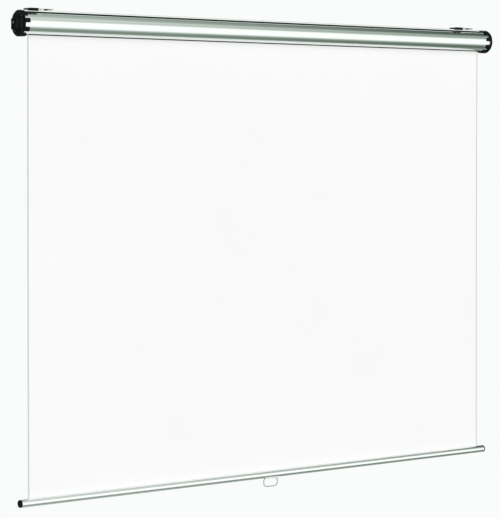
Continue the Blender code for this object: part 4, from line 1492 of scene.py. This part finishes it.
    def build(self) -> None:
        """Makes both caps and their screws."""
        places = []
        for side in Side:
            self.build_cap(side)
            for port in self.case.port_angles:
                y, z = self.case.port_centre(port)
                seat = self.case.axis + Vector((side.sign * self.flange_outer, y, z))
                places.append((seat, Vector((side.sign, 0, 0))))
        depth = self.flange_thickness + self.screw_reach
        screw = PanScrew(self.screw_head, self.screw_rise, self.screw_shank, depth).build()
        nodes = [f"cap_screw_{side.value}_{n}" for side in Side for n in (1, 2, 3)]
        screws = set_screws(places, screw, self.screw_seed)
        fit("cap_screws", screws, BLACK_STEEL, "case", *nodes)


@dataclass
class SpringRoller:
    """The roller with its spring motor. Most of it keeps its CAD solids."""

    spring_radius: float = 9 * MM
    spring_wire: float = 1.1 * MM
    spring_turns: int = 60
    spring_points: int = 20
    spring_sides: int = 8
    cloth: float = 0.3 * MM
    cloth_clearance: float = 0.1 * MM
    cloth_facets: int = 72
    turns: float = 1.98

    def build(self) -> None:
        """Dresses the solids, winds the spring and rolls the spare cloth."""
        dress(ROLLER_METAL, "roller_tube")
        dress(NYLON, "roller_head_plug", "roller_idle_plug", "idle_bush", "spring_anchor")
        pins = ("idle_pin", "pawl_pin_upper", "pawl_pin_lower")
        dress(STEEL, *pins, "spring_spear", "ratchet_wheel", "pawl_upper", "pawl_lower")
        self.build_spring()
        self.build_turns()

    def build_spring(self) -> None:
        """Winds the torsion spring, with many more turns than its CAD stand-in."""
        low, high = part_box("torsion_spring")
        values = {
            "Radius": self.spring_radius,
            "Length": high.x - low.x - 2 * self.spring_wire,
            "Turns": float(self.spring_turns),
            "Points": self.spring_points,
            "Wire": self.spring_wire,
            "Sides": self.spring_sides,
        }
        mesh = coil().make(bpy.data.meshes.new("host"), values, SPRING_STEEL)
        axis = Vector((low.x + self.spring_wire, *middle("roller_tube")[1:]))
        mesh.transform(Matrix.Translation(axis) @ Facing.RIGHT.turn)
        fit("wound_spring", softened(mesh), SPRING_STEEL, "case", "torsion_spring")

    def build_turns(self) -> None:
        """Rolls the cloth that stays on the roller."""
        low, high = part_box("fabric_roll")
        axis = middle("fabric_roll")
        outer = half_size("fabric_roll", HEIGHT) - self.cloth / 2
        inner = half_size("roller_tube", HEIGHT) + self.cloth_clearance + self.cloth / 2
        count = round(self.turns * self.cloth_facets)
        path = [
            on_circle(inner + (outer - inner) * i / count, 360 * self.turns * i / count)
            for i in range(count + 1)
        ]
        place = Vector((0, axis.y, axis.z))
        mesh = Solid.prism([strip(path, self.cloth)], low.x, high.x, place).bake()
        radius = (inner + outer) / 2

        def along(point: Vector, centre: Vector) -> float:
            """The way round the roller, without a jump inside a face.

            Args:
                point: A corner of the cloth.
                centre: Its face's centre.

            Returns:
                The distance in metres.
            """
            here = math.atan2(point.z - axis.z, point.y - axis.y)
            base = math.atan2(centre.z - axis.z, centre.y - axis.y)
            return radius * (base + (here - base + math.pi) % math.tau - math.pi)

        map_cloth(mesh, along)
        piece = fit("cloth_turns", mesh, SCREEN_CLOTH, "roller", "fabric_roll")


def strip(points: Sequence[Point], thickness: float) -> Loop:
    """The outline of a band of one thickness along a bent line.

    Args:
        points: The band's middle line.
        thickness: The band's thickness.

    Returns:
        The closed outline.
    """
    left: Loop = []
    right: Loop = []
    for i, (y, z) in enumerate(points):
        before = Vector(points[max(0, i - 1)])
        after = Vector(points[min(len(points) - 1, i + 1)])
        along = (after - before).normalized()
        left.append((y - along.y * thickness / 2, z + along.x * thickness / 2))
        right.append((y + along.y * thickness / 2, z - along.x * thickness / 2))
    return left + right[::-1]


@dataclass
class Sheet:
    """The hanging sheet, the stretch up to the roller, and the rod in its hem."""

    thickness: float = 0.4 * MM
    columns: int = 72
    rows: int = 64
    overhang: float = 1 * MM
    # The width of the outer column of faces, which carries the painted shadow band at each side
    # edge.
    edge_band: float = 6 * MM
    curl: float = 1.4 * MM
    curl_reach: float = 70 * MM
    sway: float = 0.35 * MM
    waves: tuple[Span, Span] = ((7.3, 1.1), (2.9, -0.4))
    slackness: float = 0.8
    bend_rise: float = 1.7 * MM
    bend_before: float = 2 * MM
    bend_after: float = 0.3 * MM
    bend_steps: int = 6
    hem_neck: float = 0.25 * MM
    hem_throat: float = 2.2 * MM
    hem_flare: float = 0.75

    def __post_init__(self) -> None:
        """Takes the sheet's edges from the frame."""
        self.low, self.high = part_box("screen_sheet")
        self.plane = (self.low.y + self.high.y) / 2

    def bow(self, x: float, share: float) -> float:
        """How far the cloth stands off its plane, where neither slot nor bar holds it.

        Args:
            x: The place across the sheet.
            share: The place from its lower edge to its upper.

        Returns:
            The distance from its plane.
        """
        free = math.sin(math.pi * share) ** self.slackness
        near = max(0.0, 1 - (self.high.x - abs(x)) / self.curl_reach)
        wave = math.prod(math.sin(x * pace + start) for pace, start in self.waves)
        return free * (self.curl * near**2 + self.sway * wave)

    def build_hanging(self) -> None:
        """Makes the hanging sheet with its gently curling edges.
        """
        half = self.high.x + self.overhang
        inner = half - self.edge_band
        evenly = [inner * (2 * i / self.columns - 1) for i in range(self.columns + 1)]
        across = [-half, *evenly, half]
        points = []
        for row in range(self.rows + 1):
            share = row / self.rows
            z = self.low.z + (self.high.z - self.low.z) * share
            points += [(x, self.plane + self.bow(x, share), z) for x in across]
        wide = len(across)
        faces = [
            (r * wide + c, r * wide + c + 1, (r + 1) * wide + c + 1, (r + 1) * wide + c)
            for r in range(self.rows)
            for c in range(wide - 1)
        ]
        mesh = bpy.data.meshes.new("sheet")
        mesh.from_pydata(points, [], faces)
        drawn = draft(mesh)
        thick = drawn.modifiers.new("thickness", "SOLIDIFY")
        thick.thickness = self.thickness
        thick.offset = 0
        mesh = softened(evaluated(drawn))
        map_cloth(mesh)
        piece = fit("hanging_sheet", mesh, SCREEN_CLOTH, "case", "screen_sheet")
        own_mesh(piece)

    def build_lead(self) -> None:
        """Makes the stretch from the roller to the slot."""
        low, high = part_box("sheet_lead")
        roller = middle("fabric_roll")
        bend = Vector((self.plane, low.z + self.bend_rise))
        leaves = (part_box("fabric_roll")[1].z - roller.z) + GAP + self.thickness / 2
        towards = Vector((roller.y, roller.z)) - bend
        swing = math.asin(leaves / towards.length)
        length = math.sqrt(towards.length**2 - leaves**2)
        heading = math.atan2(towards.y, towards.x) + swing
        direction = Vector((math.cos(heading), math.sin(heading)))
        start = bend + direction * self.bend_before
        end = Vector((self.plane, low.z + self.bend_after))
        path = [bend + direction * length, start]
        for i in range(1, self.bend_steps):
            share = i / self.bend_steps
            path.append(start.lerp(bend, share).lerp(bend.lerp(end, share), share))
        path.append(Vector((self.plane, low.z)))
        loop = strip([tuple(point) for point in path], self.thickness)
        mesh = Solid.prism([loop], low.x, high.x).bake()
        map_cloth(mesh)
        piece = fit("cloth_lead", mesh, SCREEN_CLOTH, "case", "sheet_lead")

    def build_hem(self) -> bpy.types.Object:
        """Makes the hem: cloth folded round a rod inside the bar.

        Returns:
            The hem's piece.
        """
        low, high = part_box("hem_rod")
        centre = middle("hem_rod")
        outer = half_size("hem_rod", HEIGHT)
        neck = self.thickness / 2
        top = outer + self.hem_neck
        lean = math.degrees(math.acos(outer / (outer + self.hem_throat))) * self.hem_flare
        loop = [(neck, top), *arc(outer, lean, 360 - lean, facets=48), (-neck, top)]
        place = Vector((0, centre.y, centre.z))
        mesh = Solid.prism([loop], low.x, high.x, place).bake()
        map_cloth(mesh)
        return fit("hem_fold", mesh, SCREEN_CLOTH, "bar", "hem_rod")

    def build(self) -> None:
        """Makes all of the sheet's pieces."""
        hem = self.build_hem()
        self.build_lead()
        self.build_hanging()


@dataclass
class BottomBar:
    """The round bar with its end plugs, and the clip that carries the handle."""

    radius: float = 12.5 * MM
    wall: float = 1.5 * MM
    mouth: float = 2.4 * MM
    mouth_edge: float = 0.4 * MM
    plug_flange: float = 5 * MM
    plug_edge: float = 1.4 * MM
    plug_back_edge: float = 0.2 * MM
    plug_spigot: float = 14 * MM
    plug_lead: float = 1 * MM
    plug_taper: float = 0.8 * MM
    dimple_depth: float = 0.5 * MM
    dimple_floor: float = 4 * MM
    dimple_rim: float = 4.6 * MM
    clip_wall: float = 1.6 * MM
    clip_floor: float = 1.8 * MM
    clip_span: float = 80
    clip_flat: float = 8 * MM
    clip_edge: float = 0.35 * MM
    lug_thickness: float = 4.5 * MM
    lug_radius: float = 3.4 * MM
    lug_root: float = 0.8 * MM
    lug_edge: float = 0.4 * MM
    screw_spacing: float = 20 * MM
    screw_radius: float = 1.4 * MM
    screw_head: float = 2.5 * MM
    screw_rise: float = 1.4 * MM
    screw_seed: int = 9

    def __post_init__(self) -> None:
        """Takes the axes and the ends from the frame."""
        self.axis = Vector((0, *middle("bar_plug_left")[1:]))
        self.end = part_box("bottom_bar")[1].x
        self.clip_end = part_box("handle_clip")[1].x
        self.pivot = joint_place("handle_swing").z - self.axis.z
        self.pivot_bore = half_size("pull_handle", DEPTH) + GAP

    def screw_holes(self) -> Solid:
        """The tool that drills the bar and the clip for the two screws.

        Returns:
            The tool.
        """
        spots = (-self.screw_spacing / 2, self.screw_spacing / 2)
        holes = [circle(self.screw_radius + GAP, facets=24, centre=(x, 0)) for x in spots]
        return Solid.prism(holes, -2 * self.radius, 0, self.axis, Facing.UP)

    def build_bar(self) -> None:
        """Makes the slotted bar."""
        bore = self.radius - self.wall
        outer = half_angle(self.mouth / 2, self.radius)
        inner = half_angle(self.mouth / 2, bore)
        edges = (self.mouth_edge, self.mouth_edge)
        outside = with_ends(arc(self.radius, outer, 360 - outer, facets=120), *edges)
        inside = with_ends(arc(bore, 360 - inner, inner, facets=96), *edges)
        bar = Solid.prism([filleted(outside + inside)], -self.end, self.end, self.axis)
        bar.cut(self.screw_holes())
        fit("bar_extrusion", bar.bake(), BAR_METAL, "bar", "bottom_bar")

    def build_plugs(self) -> None:
        """Makes the two end plugs."""
        spigot = self.radius - self.wall - GAP
        crown = GAP + self.plug_flange
        floor = crown - self.dimple_depth
        profile = [
            (floor, 0),
            (floor, self.dimple_floor),
            (crown, self.dimple_rim),
            *rim_edge(crown, self.radius, self.plug_edge),
            (GAP + self.plug_back_edge, self.radius),
            (GAP, self.radius - self.plug_back_edge),
            (GAP, spigot),
            (self.plug_lead - self.plug_spigot, spigot),
            (-self.plug_spigot, spigot - self.plug_taper),
            (-self.plug_spigot, 0),
        ]
        for side in Side:
            place = self.axis + Vector((side.sign * self.end, 0, 0))
            plug = Solid(lathed(profile, facets=72), place, side.outward)
            name = side.value
            fit(f"{name}_bar_plug", plug.bake(), BLACK_PLASTIC, "bar", f"bar_plug_{name}")

    def build_clip(self) -> None:
        """Makes the saddle under the bar with its two lugs."""
        inner = self.radius + GAP
        start = 180 - self.clip_span / 2
        end = 180 + self.clip_span / 2
        outer = inner + self.clip_wall
        flat = -inner - self.clip_floor
        saddle = [
            *with_ends(arc(inner, start, end, facets=96), 0.3 * MM, 0.3 * MM),
            (*on_circle(outer, end), 0.8 * MM),
            (-self.clip_flat / 2, flat, 1.5 * MM),
            (self.clip_flat / 2, flat, 1.5 * MM),
            (*on_circle(outer, start), 0.8 * MM),
        ]
        clip = Solid.prism([filleted(saddle)], -self.clip_end, self.clip_end, self.axis)
        clip.bevel(self.clip_edge, segments=2)
        top = -inner - self.lug_root
        lug = arc(self.lug_radius, 90, 270, facets=64, centre=(0, self.pivot))
        lug += [(-self.lug_radius, top), (self.lug_radius, top)]
        for side in Side:
            reach = side.span(self.clip_end - self.lug_thickness, self.clip_end - GAP)
            clip.join(Solid.prism([lug], *reach, self.axis).bevel(self.lug_edge, segments=2))
        hole = circle(self.pivot_bore, facets=40, centre=(0, self.pivot))
        clip.cut(Solid.prism([hole], -2 * self.clip_end, 2 * self.clip_end, self.axis))
        clip.cut(self.screw_holes())
        fit("clip_moulding", clip.bake(), LIGHTENED_CLIP_PLASTIC, "bar", "handle_clip")

    def build_clip_screws(self) -> None:
        """Makes the two screws that hold the clip to the bar."""
        depth = GAP + self.clip_floor + 2 * self.wall
        screw = PanScrew(self.screw_head, self.screw_rise, self.screw_radius, depth).build()
        seat = self.axis - Vector((0, 0, self.radius + GAP + self.clip_floor))
        places = [
            (seat + Vector((side.sign * self.screw_spacing / 2, 0, 0)), Vector((0, 0, -1)))
            for side in Side
        ]
        nodes = [f"clip_screw_{side.value}" for side in Side]
        screws = set_screws(places, screw, self.screw_seed)
        fit("clip_screws", screws, STEEL, "bar", *nodes)

    def build(self) -> None:
        """Makes every piece that goes up and down with the bar."""
        self.build_bar()
        self.build_plugs()
        self.build_clip()
        self.build_clip_screws()


@dataclass
class PullHandle:
    """The stirrup that hangs from the clip."""

    bar: BottomBar
    corner: float = 14 * MM
    elbow: float = 2.75 * MM
    wire_sides: int = 24

    def build(self) -> None:
        """Bends a round rod along the stirrup's path."""
        low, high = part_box("pull_handle")
        pivot = joint_place("handle_swing")
        wire = (high.y - low.y) / 2
        side = high.x - wire
        bottom = low.z + wire - pivot.z
        right = [(self.bar.clip_end - self.bar.lug_thickness + GAP, 0)]
        elbow = (side - self.elbow, -self.elbow)
        right += arc(self.elbow, 0, 90, facets=48, centre=elbow)
        corner = (side - self.corner, bottom + self.corner)
        right += arc(self.corner, 90, 180, facets=96, centre=corner)
        path = outlines([right + mirrored(right)], closed=False)
        mesh = rod().make(path, {"Radius": wire, "Sides": self.wire_sides}, HANDLE_PLASTIC)
        upright = Matrix.Rotation(math.pi / 2, 4, "X")
        mesh.transform(Matrix.Translation((0, pivot.y, pivot.z)) @ upright)
        fit("stirrup", softened(mesh), HANDLE_PLASTIC, "handle", "pull_handle")


@dataclass
class Bracket:
    """One sliding bracket: plate and block astride the rail, a foot in it, and a lock lever."""

    case: Case
    side: Side
    plate_corner: float = 4 * MM
    plate_edge: float = 0.25 * MM
    pad_radius: float = 8 * MM
    pad_edge: float = 0.35 * MM
    ceiling_hole: float = 2.6 * MM
    locating_hole: float = 2 * MM
    locating_place: float = 60 * MM
    block_length: float = 36 * MM
    block_width: float = 36 * MM
    block_corner: float = 2 * MM
    block_edge: float = 0.5 * MM
    skirt_depth: float = 3 * MM
    driver_hole: float = 3.6 * MM
    stud_radius: float = 2 * MM
    stud_spacing: float = 28 * MM
    rivet_radius: float = 3.3 * MM
    rivet_rise: float = 0.7 * MM
    dome_step: int = 15
    stud_end: float = 0.4 * MM
    thread_radius: float = 1.8 * MM
    thread_pitch: float = 0.7 * MM
    thread_ridge: float = 0.28 * MM
    thread_start: float = 1 * MM
    thread_rest: float = 2.2 * MM
    thread_points: int = 20
    thread_sides: int = 4
    adjuster_end: float = 0.5 * MM
    adjuster_back: float = 0.2 * MM
    shank_radius: float = 1 * MM
    shank_depth: float = 12 * MM
    lever_top: float = 7.5 * MM
    lever_foot: float = 3.4 * MM
    lever_edge: float = 0.35 * MM
    lever_arm: float = 26 * MM
    arm_width: float = 8 * MM
    arm_tip: float = 5 * MM
    arm_thickness: float = 1.8 * MM
    arm_inset: float = 0.15 * MM
    arm_edge: float = 0.4 * MM

    def __post_init__(self) -> None:
        """Takes the bracket's places from the frame."""
        self.name = f"bracket_{self.side.value}"
        self.plate_low, self.plate_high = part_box(f"{self.name}_plate")
        self.block_low, self.block_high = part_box(f"{self.name}_block")
        self.start = self.plate_low.x
        self.block_x = self.start + self.block_length / 2
        self.plate_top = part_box(f"{self.name}_stud_1")[1].z + GAP
        self.lever = joint_place(f"lever_{self.side.value}_turn")
        self.studs = [self.block_x - self.stud_spacing / 2, self.block_x + self.stud_spacing / 2]

    def holes(self, *spots: Corner) -> list[Loop]:
        """Round outlines, each given as across, up and radius."""
        return [circle(radius, facets=32, centre=(x, y)) for x, y, radius in spots]

    def drill(self, solid: Solid, low: float, high: float, radius: float, *spots: Corner) -> None:
        """Drills a hole in the block's middle, the two studs' holes and others.

        Args:
            solid: The solid that is drilled.
            low: The height of its lower face.
            high: The height of its upper face.
            radius: The radius of the middle hole.
            spots: The other holes, each as across, up and radius.
        """
        studs = [(x, 0, self.stud_radius + GAP) for x in self.studs]
        drills = self.holes((self.block_x, 0, radius), *studs, *spots)
        reach = (low - DRILL_MARGIN, high + DRILL_MARGIN)
        solid.cut(Solid.prism(drills, *reach, facing=Facing.UP))

    def build_plate(self) -> None:
        """Makes the ceiling plate with its pressed pad."""
        low, high = self.plate_low, self.plate_high
        centre = ((low.x + high.x) / 2, 0)
        outline = rounded_box(high.x - low.x, high.y - low.y, self.plate_corner, centre)
        spot = self.holes((self.start + self.locating_place, 0, self.locating_hole))
        plate = Solid.prism([outline, *spot], low.z, self.plate_top, facing=Facing.UP)
        plate.bevel(self.plate_edge, segments=2)
        rise = high.z - self.plate_top
        sink = (self.plate_top - low.z) / 2
        pad = [
            (rise, 0),
            *soft_rim(rise, self.pad_radius, self.pad_edge),
            (-sink, self.pad_radius),
            (-sink, 0),
        ]
        top = Vector((self.block_x, 0, self.plate_top))
        plate.join(Solid(lathed(pad, facets=72), top))
        self.drill(plate, low.z, high.z, self.ceiling_hole)
        fit(f"{self.side.value}_ceiling_plate", plate.bake(), ZINC, self.name, f"{self.name}_plate")

    def build_block(self) -> None:
        """Makes the plastic block that sits astride the rail."""
        low, high = self.block_low, self.block_high
        size = (self.block_length, self.block_width)
        outline = rounded_box(*size, self.block_corner, (self.block_x, 0))
        block = Solid.prism([outline], low.z, high.z, facing=Facing.UP)
        room = box(self.case.rail_width + 2 * GAP, 2 * self.skirt_depth, (0, low.z))
        margin = 2 * MM
        reach = (self.start - margin, self.start + self.block_length + margin)
        width = self.plate_high.y - self.plate_low.y + 2 * GAP
        depth = high.z - self.plate_low.z + GAP
        seat_room = box(width, 2 * depth, (0, high.z))
        block.cut(Solid.prism([room], *reach), Solid.prism([seat_room], *reach))
        block.bevel(self.block_edge)
        self.drill(block, low.z, high.z, self.driver_hole)
        bore = circle(self.shank_radius + GAP, facets=24)
        depth = self.shank_depth + GAP
        block.cut(Solid.prism([bore], -depth, margin, self.adjuster_seat()))
        name = f"{self.side.value}_rail_block"
        fit(name, block.bake(), BLACK_PLASTIC, self.name, f"{self.name}_block")

    def adjuster_seat(self) -> Vector:
        """Where the adjuster leaves the block.

        Returns:
            The middle of the hole in the block's face.
        """
        low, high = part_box(f"{self.name}_adjuster")
        face = self.start + self.block_length
        return Vector((face, (low.y + high.y) / 2, (low.z + high.z) / 2))

    def build_adjuster(self) -> None:
        """Makes the threaded adjuster, its ridge wound on a plain core."""
        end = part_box(f"{self.name}_adjuster")[1].x - self.adjuster_seat().x
        core = self.thread_radius - self.thread_ridge
        profile = [
            (end, 0),
            (end, core - self.adjuster_end),
            (end - self.adjuster_end, core),
            (GAP + self.adjuster_back, core),
            (GAP, core - self.adjuster_back),
            (GAP, self.shank_radius),
            (-self.shank_depth, self.shank_radius),
            (-self.shank_depth, 0),
        ]
        length = end - self.thread_rest
        values = {
            "Radius": core,
            "Length": length,
            "Turns": length / self.thread_pitch,
            "Points": self.thread_points,
            "Wire": self.thread_ridge,
            "Sides": self.thread_sides,
        }
        thread = coil().make(bpy.data.meshes.new("host"), values, STEEL)
        thread.transform(Matrix.Translation((0, 0, self.thread_start)))
        mesh = together(lathed(profile, facets=40), thread)
        mesh.transform(Matrix.Translation(self.adjuster_seat()) @ Facing.RIGHT.turn)
        name = f"{self.side.value}_threaded_adjuster"
        fit(name, softened(mesh), STEEL, self.name, f"{self.name}_adjuster")

    def build_foot(self) -> None:
        """Makes the foot that slides in the rail."""
        low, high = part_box(f"{self.name}_foot")
        wide = self.case.rail_chamber / 2 - GAP
        neck = self.case.rail_mouth / 2 - GAP
        shoulder = high.z - self.case.rail_lip - GAP
        half = [
            (wide, low.z, 0.4 * MM),
            (wide, shoulder, 0.3 * MM),
            (neck, shoulder, 0.2 * MM),
            (neck, high.z, 0.3 * MM),
        ]
        foot = Solid.prism([filleted(half + mirrored(half))], low.x, high.x)
        pin = (self.lever.x, 0, half_size(f"{self.name}_lever_pin", DEPTH) + GAP)
        self.drill(foot, low.z, high.z, self.driver_hole, pin)
        fit(f"{self.side.value}_rail_foot", foot.bake(), STEEL, self.name, f"{self.name}_foot")

    def build_studs(self) -> None:
        """Makes the two riveted studs, and dresses the lever's pin."""
        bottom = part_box(f"{self.name}_stud_1")[0].z
        clear = GAP / 3
        seat = self.plate_top + clear
        rise = self.rivet_rise - clear
        dome = [
            (seat + rise * z, self.rivet_radius * r)
            for r, z in (on_circle(1, degrees) for degrees in range(0, 91, self.dome_step))
        ]
        profile = [
            *dome,
            (seat, self.stud_radius),
            (bottom + self.stud_end, self.stud_radius),
            (bottom, self.stud_radius - self.stud_end),
            (bottom, 0),
        ]
        meshes = []
        for x in self.studs:
            stud = lathed(profile, facets=32)
            stud.transform(Matrix.Translation((x, 0, 0)))
            meshes.append(stud)
        nodes = [f"{self.name}_stud_{number}" for number in (1, 2)]
        fit(f"{self.side.value}_studs", softened(together(*meshes)), STEEL, self.name, *nodes)
        dress(STEEL, f"{self.name}_lever_pin")

    def build_lever(self) -> None:
        """Makes the lock lever: a tapered cam with a flat arm at its top."""
        node = f"lever_{self.side.value}"
        low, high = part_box(node)
        bore = half_size(f"{self.name}_lever_pin", DEPTH) + GAP
        arm_low = high.z - self.arm_thickness
        profile = [
            (high.z, bore),
            *soft_rim(high.z, self.lever_top, self.lever_edge),
            (arm_low, self.lever_top),
            (arm_low - 0.3 * MM, self.lever_top - 0.4 * MM),
            (low.z + self.lever_edge, self.lever_foot),
            (low.z, self.lever_foot - self.lever_edge),
            (low.z, bore),
        ]
        at = Vector((self.lever.x, 0, 0))
        cam = Solid(lathed(profile, facets=72, ring=True), at)
        root = bore + (self.lever_top - bore) / 2
        tip_radius = self.arm_tip / 2
        loop = [(root, -self.arm_width / 2), (root, self.arm_width / 2)]
        tip = (self.lever_arm - tip_radius, 0)
        loop += arc(tip_radius, 0, 180, facets=48, centre=tip)
        reach = (arm_low + self.arm_inset, high.z - self.arm_inset)
        cam.join(Solid.prism([loop], *reach, at, Facing.UP).bevel(self.arm_edge, segments=2))
        fit(f"{self.side.value}_lock_lever", cam.bake(), BLACK_PLASTIC, node, node)

    def build(self) -> None:
        """Makes the bracket's pieces."""
        self.build_plate()
        self.build_block()
        self.build_adjuster()
        self.build_foot()
        self.build_studs()
        self.build_lever()


@dataclass(frozen=True)
class LightStrip:
    """A band of the studio's surroundings, by its height seen from the screen.

    Angles are in degrees about the case, 0 straight in front and 90 straight above. The glow is
    that of the left and the right end.
    """

    start: float
    end: float
    left: float
    right: float


STUDIO_STRIPS = (
    LightStrip(-180, -157, 0.85, 0.85),
    LightStrip(-146, -138, 0.10, 0.10),
    LightStrip(-128, -128, 0.34, 0.28),
    LightStrip(-116, -98, 0.62, 0.39),
    LightStrip(-88, -88, 0.46, 0.22),
    LightStrip(-75, -58, 0.30, 0.16),
    LightStrip(-45, -45, 0.50, 0.36),
    LightStrip(-36, -36, 0.82, 0.72),
    LightStrip(-27, 23, 1.18, 1.18),
    LightStrip(30, 30, 0.95, 0.66),
    LightStrip(38, 43, 0.70, 0.39),
    LightStrip(52, 62, 0.84, 0.40),
    LightStrip(74, 92, 0.56, 0.10),
    LightStrip(108, 108, 0.43, 0.07),
    LightStrip(128, 142, 0.20, 0.04),
    LightStrip(155, 180, 0.85, 0.85),
)


@dataclass
class Studio:
    """The plain studio: pale floor, soft strips of light, and the camera."""

    camera_place: tuple[float, float, float] = (-4.703, -5.9015, -0.4415)
    camera_heading: float = 37.9897
    camera_pitch: float = 0.9672
    lens: float = 149.66
    sensor: float = 36
    shift: float = -0.15
    backdrop: Colour = (0.956, 0.973, 0.965)
    window: float = 1.18
    left_end: float = 0.54
    right_end: float = 0.69
    plain_glow: float = 0.95
    red_loss: float = 0.26
    blue_loss: float = 0.19
    dim_corner: float = 0.5
    corner_side: Span = (-0.45, -0.3)
    corner_back: Span = (0.35, 0.5)
    floor_drop: float = 2.4
    floor_radius: float = 3.5
    floor_points: int = 96
    floor_colour: Colour = (0.80, 0.81, 0.81)
    floor_roughness: float = 0.9
    floor_glow: float = 0.45
    fill: float = 0.35
    key_strength: float = 2.2
    back_strength: float = 1.5
    key_heading: tuple[float, float, float] = (0.2, 1, 0.1)
    back_heading: tuple[float, float, float] = (-0.3, -1, -0.2)
    light_angle: float = 12

    def build_camera(self) -> None:
        """Sets the camera at the photograph's angle."""
        data = bpy.data.cameras.new("camera")
        data.lens = self.lens
        data.sensor_width = self.sensor
        data.shift_y = self.shift
        data.clip_start = 0.1
        data.clip_end = 100
        camera = bpy.data.objects.new("camera", data)
        bpy.context.scene.collection.objects.link(camera)
        camera.location = self.camera_place
        pitch = math.radians(90 - self.camera_pitch)
        camera.rotation_euler = (pitch, 0, -math.radians(self.camera_heading))
        bpy.context.scene.camera = camera

    def ramp(self, graph: Graph, turn: Socket, end: str) -> Socket:
        """The strips as one ramp, each tinted a little green where it is dim.

        Args:
            graph: The surroundings' graph.
            turn: The height seen from the screen, 0 to 1.
            end: The field of each strip that holds its glow.

        Returns:
            The glow's socket.
        """
        node = graph.add("ShaderNodeValToRGB", {"Fac": turn})
        stops = {}
        for band in STUDIO_STRIPS:
            for angle in (band.start, band.end):
                stops[(angle + 180) / 360] = getattr(band, end)
        elements = node.color_ramp.elements
        while len(elements) > 1:
            elements.remove(elements[-1])
        for index, (place, glow) in enumerate(sorted(stops.items())):
            stop = elements[0] if index == 0 else elements.new(place)
            stop.position = place
            dim = max(0.0, 1 - glow / self.plain_glow)
            share = glow / self.window
            red = 1 - self.red_loss * dim
            blue = 1 - self.blue_loss * dim
            stop.color = (share * red, share, share * blue, 1)
        return node.outputs[0]

    def build_surroundings(self) -> None:
        """Hangs the strips round the screen, dimmer in the corner behind its left end.

        The strips show in reflections. Matt faces get an even fill, and the camera sees a plain
        backdrop.
        """
        world = bpy.data.worlds.new("studio")
        world.use_nodes = True
        world.node_tree.nodes.clear()
        graph = Graph(world.node_tree)
        towards = graph.add("ShaderNodeTexCoord").outputs["Generated"]
        parts = graph.add("ShaderNodeSeparateXYZ", {0: towards}).outputs
        height = graph.sum("ARCTAN2", parts[2], graph.sum("MULTIPLY", parts[1], -1.0))
        turn = graph.ranged(height, (-math.pi, math.pi), (0, 1))
        along = graph.ranged(parts[0], (self.left_end, self.right_end), (0, 1))
        glow = graph.blend(along, self.ramp(graph, turn, "left"), self.ramp(graph, turn, "right"))
        not_left = graph.ranged(parts[0], self.corner_side, (0, 1))
        not_behind = graph.ranged(parts[1], self.corner_back, (1, 0))
        open_share = graph.sum("MAXIMUM", not_left, not_behind)
        wall = graph.ranged(open_share, (0, 1), (self.dim_corner, self.window))
        lit = graph.add("ShaderNodeBackground", {"Color": glow, "Strength": wall}).outputs[0]
        plain_back = {"Color": (*self.backdrop, 1), "Strength": 1.0}
        backdrop = graph.add("ShaderNodeBackground", plain_back).outputs[0]
        white = {"Color": (1, 1, 1, 1), "Strength": self.fill}
        even = graph.add("ShaderNodeBackground", white).outputs[0]
        ray = graph.add("ShaderNodeLightPath").outputs
        on_matt = {0: ray["Is Diffuse Ray"], 1: lit, 2: even}
        around = graph.add("ShaderNodeMixShader", on_matt).outputs[0]
        seen = {0: ray["Is Camera Ray"], 1: around, 2: backdrop}
        whole = graph.add("ShaderNodeMixShader", seen).outputs[0]
        graph.add("ShaderNodeOutputWorld", {"Surface": whole})
        bpy.context.scene.world = world

    def add_light(self, name: str, strength: float, heading: Sequence[float]) -> None:
        """Adds one broad light that shines along a heading.

        Args:
            name: The light's name.
            strength: Its strength.
            heading: The direction that it shines in.
        """
        data = bpy.data.lights.new(name, "SUN")
        data.energy = strength
        data.angle = math.radians(self.light_angle)
        light = bpy.data.objects.new(name, data)
        bpy.context.scene.collection.objects.link(light)
        light.rotation_euler = Vector(heading).to_track_quat("-Z", "Y").to_euler()

    def build_floor(self) -> None:
        """Lays the plain pale floor under the screen."""
        count = self.floor_points
        rim = (on_circle(self.floor_radius, 360 * i / count) for i in range(count))
        points = [(x, y, -self.floor_drop) for x, y in rim]
        mesh = bpy.data.meshes.new("floor")
        mesh.from_pydata(points, [], [tuple(reversed(range(count)))])
        material = bpy.data.materials.new("floor paint")
        material.use_nodes = True
        shader = material.node_tree.nodes["Principled BSDF"]
        shader.inputs["Base Color"].default_value = (*self.floor_colour, 1)
        shader.inputs["Roughness"].default_value = self.floor_roughness
        shader.inputs["Emission Color"].default_value = (*self.backdrop, 1)
        shader.inputs["Emission Strength"].default_value = self.floor_glow
        mesh.materials.append(material)
        floor = bpy.data.objects.new("floor", mesh)
        bpy.context.scene.collection.objects.link(floor)
        floor.visible_glossy = False
        floor.visible_diffuse = False
        floor.visible_shadow = False

    def build(self) -> None:
        """Sets up the studio."""
        bpy.context.scene.view_settings.view_transform = "Standard"
        self.build_camera()
        self.build_surroundings()
        self.add_light("key", self.key_strength, self.key_heading)
        self.add_light("back light", self.back_strength, self.back_heading)
        self.build_floor()


def main() -> None:
    """Builds the screen's sub-assemblies in order and reports each of their pieces."""
    logging.basicConfig(level=logging.INFO, format="%(name)s: %(message)s")
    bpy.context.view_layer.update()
    Studio().build()
    case = Case()
    case.build()
    EndCaps(case).build()
    SpringRoller().build()
    Sheet().build()
    bar = BottomBar()
    bar.build()
    PullHandle(bar).build()
    for side in Side:
        Bracket(case, side).build()


if __name__ == "__main__":
    main()
